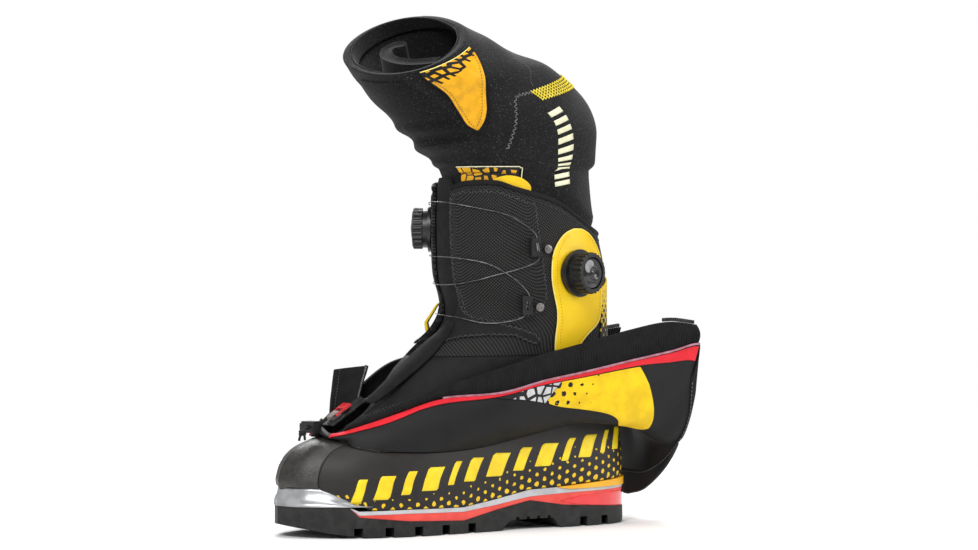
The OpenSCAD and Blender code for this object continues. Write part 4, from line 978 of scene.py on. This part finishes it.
ps = lin(23, 74, 60)
J = lin(0, 6.3, 26)
row = lambda o: np.array([lowerp(ps, j, o) for j in J])
Q = row(2.0)
wide_as = lambda v: np.broadcast_to(v, Q.shape[:2])
ob = wall("liner_strap_lower_visual", Q, row(0.4), M["strapblk"], bevel=0.5,
          pat=stack([wide_as(ps * 0.8), Q[..., 2], wide_as(0.5 + 1.2 * ease(30, 62, ps))], -1))
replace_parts(ob, "liner_strap_lower")
rim = cat([row(1.9)[-1], lowerp(lin(74, 76, 4), 5.9, 1.6),
                      S(lin(76.3, 76, 8), lin(285, 270, 8), 5.6)])
tube("liner_strap_piping", rim, 0.8, M["pale"], n=8)
ob = skin("liner_strap_end_visual", lin(49, 83, 50), lin(0, 1, 16), lambda p: 262 + 0 * p,
          lambda p: 274 + 12 * np.sqrt(np.clip(1 - ((p - 66) / 17.5) ** 2, 0, 1)), 3.4, 5.1, M["strapend"],
          bevel=0.6)
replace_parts(ob, "liner_strap_end")

# end of the wrapped collar, curled inside the mouth
C0, E1, E2 = np.array([-140, 0, 391.5]), np.array([49, 0, 20.5]), np.array([0, -51, -19.0])
EN = np.cross(E1, E2)
EN = -EN / norm(EN) * np.sign(np.cross(E1, E2)[2])
curl = smooth_line([[0.16, 0.87], [-0.02, 0.74], [-0.2, 0.56], [-0.33, 0.32], [-0.36, 0.06], [-0.26, -0.14],
                    [-0.08, -0.18], [0.06, -0.06]], 50)
tg = np.gradient(curl, axis=0)
nn = stack([tg[:, 1], -tg[:, 0]], 1) / norm(tg, axis=1, keepdims=True)
wid = 0.1 * np.sqrt(np.clip(1 - ((lin(0, 1, 50) - 0.93) / 0.075).clip(0) ** 2, 0.02, 1))
plane = lambda c: C0 + c[:, :1] * E1 + c[:, 1:] * E2
dep = np.array([1.2, 0.2, 0, 0.3, 2, 8, 18, 30, 42])
sq = np.array([0.55, 0.85, 1, 1, 1, 1, 1, 1, 1])
O = np.array([plane(curl + nn * (wid * k)[:, None]) + EN * (d + 1.5) for d, k in zip(dep, sq)])
I = np.array([plane(curl - nn * (wid * k)[:, None]) + EN * (d + 1.5) for d, k in zip(dep, sq)])
ob = wall("liner_collar_curl", O, I, M["liner"], bevel=1.2)

# generic printed blocks up the back of the liner
co, fc = [], []
for t0 in (2.66, 2.32, 1.98, 1.64, 1.3, 0.96, 0.62, 0.28, -0.06, -0.36):
    t1, a0, a1, sl = t0 + 0.19, 104.5, 116.5, 0.14
    base = len(co)
    for o in (0.45, -0.2):
        for j in range(5):
            for i in range(7):
                a = a0 + (a1 - a0) * i / 6
                e = 0.25 if i in (0, 6) or j in (0, 4) else 0
                t = t0 + (t1 - t0) * j / 4 + sl * (i / 6 - 0.5)
                o1 = -(o - e if o > 0 else o)
                z1 = 286 + 20 * min(t, 0.25)
                co.append(L(a, t, o1) if t > 0.25 else S(a, z1, linset(a, z1) + o1))
    for j in range(4):
        for i in range(6):
            q = base + j * 7 + i
            fc += [(q, q + 1, q + 8, q + 7), (q + 35, q + 42, q + 43, q + 36)]
    ring = [0, 7, 14, 21, 28, 29, 30, 31, 32, 33, 34, 27, 20, 13, 6, 5, 4, 3, 2, 1]
    for k in range(len(ring)):
        a, b = base + ring[k], base + ring[(k + 1) % len(ring)]
        fc.append((a, b, b + 35, a + 35))
mesh("liner_blocks", np.array(co), fc, M["pale"])

# ---------------------------------------------------------------- stitching
loop_p = cat([lin(19, 84, 60), lin(84, 84, 20), lin(84, 19, 60)])
loop_z = cat([mlo(lin(19, 84, 60)), lin(186, 262, 20), mhi(lin(84, 19, 60))])
stitches("mesh_panel_stitches", [line(SO, loop_p, loop_z, 0.75)], M["dark_thread"], 1.8, 0.5, 0.8, zig=1.0)
stitches("front_edge_stitches", [line(SO, p + np.zeros(60), lin(150, 268, 60), 0.0) for p in (17, 343)],
         M["dark_thread"], 1.6, 0.4, 0.9, zig=1.3)
pc = lin(18, 170, 120)
stitches("cuff_stitches", [line(SO, side * pc, cuff(pc) - 3.5, 0.0) for side in (1, -1)], M["dark_thread"],
         1.8, 1.2, 0.6)
po = lin(17, 88, 90)
olo, ohi = np.interp(po, OLO[:, 0], OLO[:, 1]), np.interp(po, OHI[:, 0], OHI[:, 1])
rows = [line(SO, side * po, z, 0.95) for side in (1, -1) for z in (olo + 0.6, ohi - 0.6)]
stitches("instep_stitches", rows, M["dark_thread"], 1.8, 0.5, 0.85, zig=1.1)
seam = tab(T("0 110 3.6, 1 104 3.62, 2 96 3.6, 3 88 3.2, 4 80 2.5, 5 74 2, 6 68 1.5"), lin(0, 6, 80))
stitches("liner_seam_stitches", [line(LO, seam[:, 1], seam[:, 2], 0.2)], M["grey_thread"],
         1.5, 0.5, 0.8, zig=1.2)
seam = tab(T("0 142 5.2, 1 136 4.6, 2 120 4.0, 3 116 3.7"), lin(0, 3, 40))
stitches("liner_top_seam", [line(LO, seam[:, 1], seam[:, 2], 0.2)], M["grey_thread"], 1.5, 0.9, 0.5)
bt = [line(LO, lin(110, 175, 60), 3.6 - 0.075 * k + 0 * lin(0, 1, 60), 0.3) for k in range(5)]
stitches("liner_bartack", bt, M["yellow_thread"], 1.5, 0.25, 1.1, zig=1.3)
stitches("hem_stitches", [line(G, lin(153, 207, 60), np.full(60, 0.86), 2.4)], M["grey_thread"],
         1.8, 1.4, 0.5)
pq = lin(99, 146, 80)
stitches("patch_stitches", [line(G, pq, tab(PVA, pq)[:, 1] + 0.03, 2.0)], M["yellow_thread"], 1.6, 1.0, 0.4)
